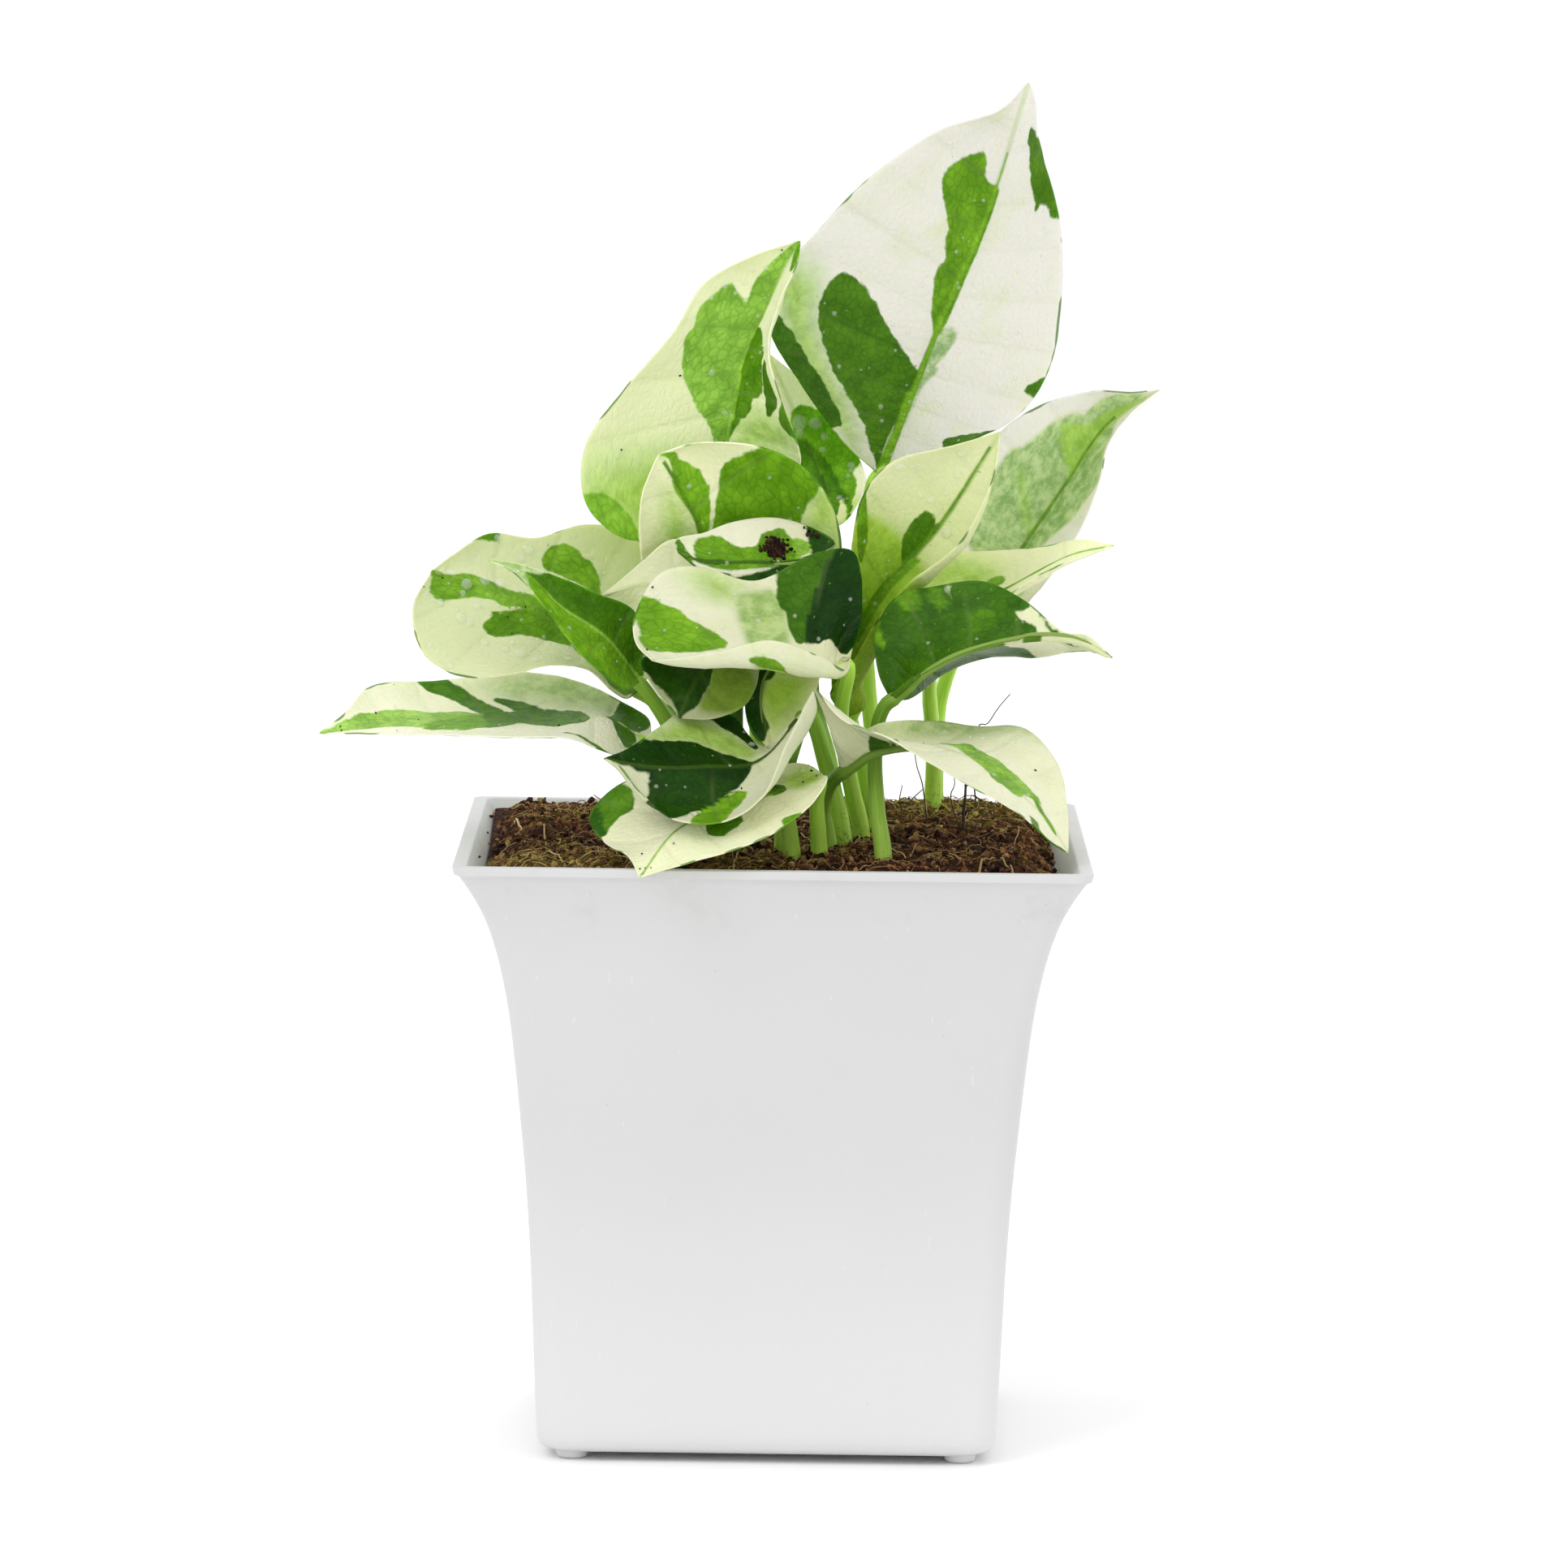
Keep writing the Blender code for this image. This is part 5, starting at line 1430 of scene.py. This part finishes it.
def markingsOf(blade, paint):
    # patches of green with their tone, and pale clouds with their warmth
    patch = np.full(blade.u.shape, leafBuild["farOut"])
    tone, pale, warmth = (np.zeros(blade.u.shape) for _ in range(3))
    for shade, outline in paint.get("green", []):
        field = fieldOf(blade, outline) + leafBuild["patchGrowth"]
        tone = np.where(field > np.minimum(patch, 0.3), shade, tone)
        patch = np.maximum(patch, field)
    for outline in paint.get("cream", []):
        patch = np.minimum(patch, -fieldOf(blade, outline))
    for start, end, startWidth, endWidth, shade in paint.get("ribs", []):
        reach = np.interp(blade.v, (start, end), (startWidth, endWidth))
        onRib = (blade.v > start - 0.01) & (blade.v < end + 0.01)
        field = np.where(onRib, reach - blade.fromRib, leafBuild["farOut"])
        tone = np.where(field > 0.0, shade, tone)
        patch = np.maximum(patch, field)
    for warm, soft, outline in paint.get("pale", []):
        level = np.clip(fieldOf(blade, outline) / soft * 0.5 + 0.5, 0.0, 1.0)
        warmth = np.where(level > pale, warm, warmth)
        pale = np.maximum(pale, level)
    return {"patch": patch, "tone": tone, "pale": pale, "warmth": warmth}


def makeLeaf(name, shape, paint):
    number = name[-2:]
    blade = layOut(shape)
    shaped = blade.points + blade.normals * reliefOf(blade, int(number))[:, :, None]

    # a grid is laid over those places, closed at both ends and given its thickness
    deselectAll()
    bpy.ops.mesh.primitive_grid_add(x_subdivisions=2 * blade.columns, y_subdivisions=blade.rows, size=1.0)
    piece = nameActive("leafBlade" + number)
    writePoints(piece, shaped.reshape(-1, 3) * mm)
    for label, values in markingsOf(blade, paint).items():
        addNumbers(piece, label, values)
    for label in ("fromEdge", "fromRib", "fromVein"):
        addNumbers(piece, label, getattr(blade, label))
    # tint is the blade's own colour; lift is painted light, the whole blade made lighter or darker for the
    # light it gets
    for label in ("tint", "lift"):
        addNumbers(piece, label, np.full(blade.u.shape, paint.get(label, 1.0)))
    apart = np.full(blade.u.shape, int(number) * 50.0)
    addVectors(piece, "flat", np.stack([blade.across, blade.along, apart], axis=2))
    group = piece.vertex_groups.new(name="thickness")
    thin = leafBuild["edgeThick"] / leafBuild["thick"]
    weights = thin + (1 - thin) * np.clip(blade.fromEdge / leafBuild["edgeFade"], 0, 1)
    for index, weight in enumerate(weights.ravel()):
        group.add([index], float(weight), "REPLACE")
    editPiece(piece)
    bpy.ops.mesh.select_all(action="SELECT")
    bpy.ops.mesh.remove_doubles(threshold=0.00001)
    leaveEditing()
    for face in leafFaces:
        piece.data.materials.append(face)
    applyModifier(piece, "SOLIDIFY", thickness=leafBuild["thick"] * mm, offset=-1.0, vertex_group="thickness",
                  use_rim=True, use_quality_normals=True, material_offset=1)
    writePoints(piece, np.clip(readPoints(piece), cadBox[0], cadBox[1]))   # stays inside the CAD part's box
    smoothAll(piece)
    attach(piece, "root")
    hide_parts("leaf_" + name[-2:])
    leafGrids[name] = (shaped, surfaceNormals(shaped))
    return blade.rib, blade.normals[:, blade.columns]


stalkBuild = {
    "foot": 1.55, "top": 1.12, "step": 0.9, "sides": 14, "groove": 0.05, "wobble": 0.05,
    "inMix": 6.0, "outOfMix": 1.2, "underBlade": 0.9,
    # how much thicker it is at the foot and at the knee, where it meets the blade, and over what share of it
    "footSwelling": 0.22, "footReach": 0.10, "kneeSwelling": 0.12, "kneeAt": 0.97, "kneeReach": 0.04,
    # the midrib under the blade: from and to where along it, the points on it, its radius at the base as a
    # share of the stalk's, its radius at the tip, and how deep it lies
    "ribFrom": 0.04, "ribTo": 0.93, "ribPoints": 44, "ribStart": 0.85, "ribEnd": 0.22, "ribDepth": 0.34,
}


def makeStalk(name, path, rib, up, deep):
    # one tube from the mix to the blade, running on under it as its raised midrib
    build, number = stalkBuild, name[-2:]
    (footX, footY), bend = path[0], path[1:]
    level = mixHeight(footX, footY)
    meeting = tuple(rib[1] - up[1] * build["underBlade"])
    foot = [(footX, footY, level - build["inMix"]), (footX, footY, level + build["outOfMix"])]
    stalk = foot + bend + [meeting]
    length = pathLength(stalk)
    rings = int(length / build["step"])
    climb = np.linspace(0, 1, rings)
    centres = alongPath(stalk, climb)
    radii = build["foot"] + (build["top"] - build["foot"]) * climb
    radii = radii + build["footSwelling"] * np.exp(-climb / build["footReach"])
    radii = radii + build["kneeSwelling"] * np.exp(-((climb - build["kneeAt"]) / build["kneeReach"]) ** 2)

    # under the blade it thins out, its top sunk in the blade
    shares = np.linspace(build["ribFrom"], build["ribTo"], build["ribPoints"])
    start = build["top"] * build["ribStart"]
    ribRadii = start + (build["ribEnd"] - start) * shares ** 0.75
    index = np.clip((shares * (len(rib) - 1)).astype(int), 1, len(rib) - 2)
    ribCentres = rib[index] - up[index] * (ribRadii * 0.95 + build["ribDepth"])[:, None]
    centres = np.vstack([centres, ribCentres])
    radii = np.concatenate([radii, ribRadii])
    for _ in range(2):   # eases the turn where the stalk meets the blade
        eased = (centres[:-2] + 2 * centres[1:-1] + centres[2:]) / 4
        nearJoin = slice(max(rings - 5, 1), rings + 4)
        centres[nearJoin] = eased[nearJoin.start - 1:nearJoin.stop - 1]
    wobble = np.array([1 + build["wobble"] * noise.noise(Vector(centre) * 0.25) for centre in centres])
    tube = tubeAround(centres, radii * wobble, build["sides"], build["groove"])
    piece = pieceOf("leafStalk" + number, [tube])
    smoothAll(piece)
    travel = np.repeat(np.concatenate([climb, 1 + shares]), build["sides"])
    addNumbers(piece, "climb", travel)
    addNumbers(piece, "deep", np.clip(travel * 1.4, 0.0, 1.0) * deep)
    turn = np.tile(np.arange(build["sides"]) / build["sides"] * 2 * math.pi, len(centres))
    along = travel * length + int(number) * 70
    addVectors(piece, "flat", np.stack([np.cos(turn) * 1.5, np.sin(turn) * 1.5, along], axis=1))
    settle(piece, stalkSkin, ["stalk_" + number])


def leafGround(material, place, cloud, feather):
    # cream ground, whiter or yellower from leaf to leaf, greener in clouds
    ground = blendColours(numberOf(material, "tint"), colour(230, 225, 222), colour(224, 231, 172))
    ground = blendColours(fade(cloud, 0.50, 0.80, 0.0, 0.45), ground, colour(207, 216, 153))

    # pale clouds, grey green or yellow green, with soft edges; the yellow green is partly painted light coming
    # through the blade
    clouded = total(numberOf(material, "pale"), product(feather, 0.14))
    clouded = fade(clouded, 0.1, 0.9, 0.0, 0.9)
    mottle = fade(noiseOf(place, 0.45, 4.0, 0.65), 0.35, 0.65)
    greyGreen = blendColours(mottle, colour(128, 164, 92), colour(196, 208, 164))
    # yellow green: partly the blade's own colour, partly painted light coming through the blade
    yellowGreen = blendColours(mottle, colour(146, 184, 30), colour(170, 208, 60))
    painted = blendColours(numberOf(material, "warmth"), greyGreen, yellowGreen)
    return blendColours(clouded, ground, painted)


def leafGreen(material, place, net, fromVein):
    # green patches, blotchy, with a net of fine lines and side veins
    green = colourRamp(numberOf(material, "tone"), [
        (0.0, 14, 56, 4), (0.25, 50, 98, 10), (0.5, 98, 148, 24), (0.75, 142, 194, 42), (1.0, 176, 210, 114)])
    blotch = fade(noiseOf(place, 0.28, 4.0, 0.6), 0.35, 0.70)
    green = blendColours(blotch, tinted(green, colour(202, 216, 188)), green)
    netLine = fade(net, 0.02, 0.14, 0.24, 0.0)
    veinLine = fade(fromVein, 0.05, 0.50, 0.34, 0.0)
    lines = mathOf("MAXIMUM", netLine, veinLine)
    return blendColours(lines, green, tinted(green, colour(120, 138, 110)))


def makeLeafSkin(name, under):
    material, shader = newMaterial(
        name, IOR=1.45, Subsurface_Weight=0.35, Subsurface_Scale=0.0012, Subsurface_Radius=(0.6, 1.0, 0.25),
        Specular_IOR_Level=0.05 if under else 0.12)
    place = vectorOf(material, "flat")
    patch, fromEdge, fromRib, fromVein = (
        numberOf(material, label) for label in ("patch", "fromEdge", "fromRib", "fromVein"))
    cloud = noiseOf(place, 0.09, 3.0)
    feather = noiseOf(stretch(place, (0.8, 1.15, 1.0)), 0.5, 3.0, 0.5)
    feather = product(mathOf("SUBTRACT", feather, 0.5), 1.3)
    feather = product(feather, fade(fromRib, 0.6, 2.5, 0.15, 1.0))
    net = addNode("TexVoronoi", {"Vector": place, "Scale": 0.75}, feature="DISTANCE_TO_EDGE")
    net = net.outputs["Distance"]
    green = leafGreen(material, place, net, fromVein)
    inside = fade(total(patch, feather), -0.18, 0.24)
    skin = blendColours(inside, leafGround(material, place, cloud, feather), green)

    # small green flecks, thickest close to a patch
    fleck = noiseOf(stretch(place, (0.9, 1.6, 1.0)), 1.0, 2.0)
    fleck = mathOf("GREATER_THAN", fleck, fade(patch, -3.0, 0.0, 0.80, 0.70))
    skin = blendColours(product(fleck, 0.55), skin, colour(120, 158, 70))

    # the midrib, faint veins on the cream, and a thin dark line round the edge
    ribLine = total(fromRib, product(feather, 0.10))
    ribLine = fade(ribLine, 0.22, 0.62, 0.34, 0.0)
    onGreen = blendColours(0.35, green, colour(150, 186, 70))
    skin = blendColours(ribLine, skin, blendColours(inside, colour(170, 196, 108), onGreen))
    faint = product(fade(fromVein, 0.06, 0.6, 0.10, 0.0), fade(cloud, 0.4, 0.6))
    skin = blendColours(faint, skin, colour(176, 194, 128))
    broken = fade(noiseOf(place, 0.11, 2.0), 0.50, 0.66, -0.22, 0.36)
    rimLine = fade(mathOf("SUBTRACT", fromEdge, broken), -0.12, 0.12, 0.85, 0.0)
    skin = blendColours(rimLine, skin, colour(74, 112, 40))
    if under:
        skin = blendColours(0.04, skin, colour(190, 206, 130))

    # deep in the plant the light comes through other blades, and turns yellow green
    heart = {0: objectPlace(material), 1: (0.010, 0.004, 0.122)}
    middle = addNode("VectorMath", heart, operation="DISTANCE").outputs["Value"]
    filtered = fade(middle, 0.010, 0.046, 0.9, 0.0)
    skin = blendColours(filtered, skin, tinted(skin, colour(206, 214, 118)))
    # painted light: each blade's colour made lighter or darker for the light it gets
    skin = tinted(skin, numberOf(material, "lift"))

    # a fine grain, and low veins between the cells of the skin
    cells = noiseOf(place, 5.5, 3.0, 0.6)
    smooth, rough = (0.46, 0.58) if under else (0.27, 0.42)
    gloss = fade(halfEach(cells, cloud), 0.35, 0.65, smooth, rough)
    normal = bumpOf(cells, 0.00006, 0.7)
    normal = bumpOf(fade(net, 0.0, 0.25), 0.00008, 0.6, normal)
    normal = bumpOf(fade(fromVein, 0.0, 0.8), 0.00012, 0.8, normal)
    dress(shader, Base_Color=skin, Roughness=gloss, Normal=normal)
    return material


def makeStalkSkin():
    material, shader = newMaterial(
        "stalkSkin", IOR=1.45, Specular_IOR_Level=0.2, Subsurface_Weight=0.3, Subsurface_Scale=0.0015,
        Subsurface_Radius=(0.6, 1.0, 0.2))
    place = vectorOf(material, "flat")
    climb = numberOf(material, "climb")
    streak = noiseOf(stretch(place, (2.2, 2.2, 0.12)), 1.0, 4.0, 0.6)
    body = colourRamp(product(climb, 0.5), [
        (0.0, 150, 196, 80), (0.10, 200, 242, 100), (0.45, 182, 234, 80), (0.55, 184, 226, 94),
        (1.0, 196, 218, 124)])
    shaded = tinted(body, colour(88, 116, 50))
    body = blendColours(numberOf(material, "deep"), body, shaded)
    dark = tinted(body, colour(238, 242, 228))
    light = blendColours(0.12, body, colour(206, 226, 150))
    body = blendColours(fade(streak, 0.35, 0.65), dark, light)

    # specks of soil at the foot
    soil = total(climb, product(noiseOf(place, 0.5, 3.0), 0.20))
    soil = fade(soil, 0.16, 0.40, 0.75, 0.0)
    speck = fade(noiseOf(place, 1.7, 3.0, 0.7), 0.56, 0.62)
    body = blendColours(product(soil, speck), body, colour(70, 46, 30))
    gloss = fade(streak, 0.3, 0.7, 0.34, 0.48)
    dress(shader, Base_Color=body, Roughness=gloss, Normal=bumpOf(streak, 0.0001, 0.4))
    return material


leafFaces = [makeLeafSkin("leafTop", False), makeLeafSkin("leafUnder", True)]
stalkSkin = makeStalkSkin()
leafGrids = {}
for leafName, leafShape in leafShapes.items():
    leafRib, leafUp = makeLeaf(leafName, leafShape, leafPaint[leafName])
    stalkName = "stalk" + leafName[-2:]
    makeStalk(stalkName, stalkPaths[stalkName], leafRib, leafUp, leafPaint[leafName].get("deep", 0.0))
print("leaves and stalks ready")


# Water drops and grains of soil that lie on the blades

onLeaves = {
    # leaf: how many drops, and their smallest and largest radius in mm
    "drops": {
        "leaf01": (90, 0.18, 0.5), "leaf02": (46, 0.2, 0.6), "leaf03": (26, 0.2, 0.5),
        "leaf04": (10, 0.3, 0.6), "leaf05": (40, 0.2, 0.6), "leaf06": (10, 0.2, 0.45),
        "leaf07": (24, 0.2, 0.5), "leaf08": (26, 0.15, 0.45), "leaf09": (14, 0.18, 0.5),
        "leaf10": (8, 0.2, 0.5), "leaf11": (34, 0.2, 0.55), "leaf12": (60, 0.25, 1.0), "leaf13": (8, 0.2, 0.5),
        "leaf14": (10, 0.2, 0.5), "leaf15": (26, 0.18, 0.5), "leaf16": (18, 0.2, 0.6),
        "leaf17": (18, 0.2, 0.5),
    },
    # leaf: side, height and radius of each large drop
    "largeDrops": {
        "leaf04": [(0.02, 0.69, 1.35), (0.47, 0.64, 1.25), (-0.03, 0.64, 0.8), (0.53, 0.57, 0.7),
                   (0.34, 0.53, 0.65), (0.79, 0.39, 0.7)],
        "leaf12": [(0.20, 0.75, 1.1), (-0.56, 0.53, 1.2), (0.82, 0.69, 0.9), (-0.24, 0.77, 0.75),
                   (-0.43, 0.74, 0.8), (-0.53, 0.66, 0.7), (-0.41, 0.59, 0.55), (-0.92, 0.67, 0.65),
                   (-0.89, 0.76, 0.45), (0.69, 0.70, 0.5)],
        "leaf05": [(-0.92, 0.73, 0.9), (-0.82, 0.76, 0.6), (-0.63, 0.89, 0.8), (-0.25, 0.84, 0.7),
                   (0.13, 0.71, 0.9), (-0.28, 0.75, 0.6)],
        "leaf07": [(0.74, 0.77, 0.5), (0.38, 0.66, 0.5), (0.89, 0.80, 0.45), (0.57, 0.52, 0.5)],
        "leaf11": [(-0.74, 0.59, 0.5), (-0.60, 0.51, 0.45)],
        "leaf03": [(0.75, 0.78, 0.4), (0.66, 0.50, 0.5), (0.45, 0.51, 0.45)],
        "leaf02": [(-0.74, 0.39, 0.5)],
        "leaf01": [(-0.50, 0.59, 0.45), (-0.22, 0.55, 0.4), (-0.15, 0.44, 0.45)],
    },
    "spread": (-0.92, 0.92), "climb": (0.06, 0.94), "flatness": 0.62, "rise": 0.12,
    # leaf: grains of soil scattered over a place (side, height), the reach both ways, and how many. They are
    # larger where they lie heaped, over a short reach
    "looseSizes": (0.10, 0.26), "heapedSizes": (0.16, 0.5), "shortReach": 0.2,
    "grains": {
        "leaf06": [(0.36, 0.43, 0.12, 0.030, 420), (0.85, 0.23, 0.05, 0.035, 16)],
        "leaf02": [(-0.4, 0.5, 0.5, 0.5, 6)], "leaf12": [(0.2, 0.4, 0.6, 0.6, 8)],
        "leaf15": [(0.0, 0.4, 0.5, 0.5, 10)], "leaf16": [(0.1, 0.5, 0.4, 0.4, 8)],
        "leaf17": [(0.2, 0.5, 0.5, 0.5, 14)], "leaf11": [(0.2, 0.4, 0.4, 0.4, 8)],
        "leaf07": [(0.3, 0.5, 0.4, 0.4, 5)],
    },
}


def spotOn(name, side, height):
    shaped, normals = leafGrids[name]
    row = int(round(height * (shaped.shape[0] - 1)))
    column = int(round((side + 1) / 2 * (shaped.shape[1] - 1)))
    return shaped[row, column], normals[row, column]


def makeDrops():
    deselectAll()
    bpy.ops.mesh.primitive_uv_sphere_add(segments=12, ring_count=8, radius=1.0)
    ball, faces = takeActive()
    spots = [(name, *spot) for name, places in onLeaves["largeDrops"].items() for spot in places]
    for name, (count, small, large) in onLeaves["drops"].items():
        for _ in range(count):
            side, height = chance.uniform(*onLeaves["spread"]), chance.uniform(*onLeaves["climb"])
            spots.append((name, side, height, small + (large - small) * chance.random() ** 2))
    parts = []
    for name, side, height, radius in spots:
        place, normal = spotOn(name, side, height)
        turn = Vector((0, 0, 1)).rotation_difference(Vector(normal)).to_matrix()
        squashed = ball * (radius, radius * chance.uniform(0.85, 1.15), radius * onLeaves["flatness"])
        parts.append((squashed @ np.array(turn).T + place + normal * radius * onLeaves["rise"], faces))
    piece = pieceOf("waterDrops", parts)
    smoothAll(piece)
    return piece


def makeGrains():
    shapes = crumbShapes(5)
    parts, shades = [], []
    for name, places in onLeaves["grains"].items():
        for side, height, sideReach, heightReach, count in places:
            sizes = onLeaves["looseSizes" if heightReach > onLeaves["shortReach"] else "heapedSizes"]
            for _ in range(count):
                s = within(chance.gauss(side, sideReach), 0.95)
                h = max(0.05, min(0.95, chance.gauss(height, heightReach)))
                place, normal = spotOn(name, s, h)
                points, faces = chance.choice(shapes)
                size = chance.uniform(*sizes)
                angles = [chance.uniform(0, 6.28) for _ in range(3)]
                parts.append((turned(points, *angles) * size + place + normal * size * 0.4, faces))
                shades.append(chance.random() * 0.4)
    return pieceOf("leafGrains", parts, shade=shades, moss=np.zeros(len(shades)))


def makeWater():
    material, shader = newMaterial("waterDrop", IOR=1.4, Alpha=0.24, Specular_IOR_Level=1.0)
    cloudy = noiseOf(objectPlace(material), 900.0, 1.0)
    # painted highlight: clear water given a near-white colour for the light the drops catch
    body = blendColours(cloudy, colour(242, 248, 232), colour(252, 254, 246))
    dress(shader, Base_Color=body, Roughness=fade(cloudy, 0.3, 0.7, 0.04, 0.10))
    return material


settle(makeDrops(), makeWater())
settle(makeGrains(), makeCoir("leafSoil", 0.0))
print("drops and grains ready")

print("pieces finished")
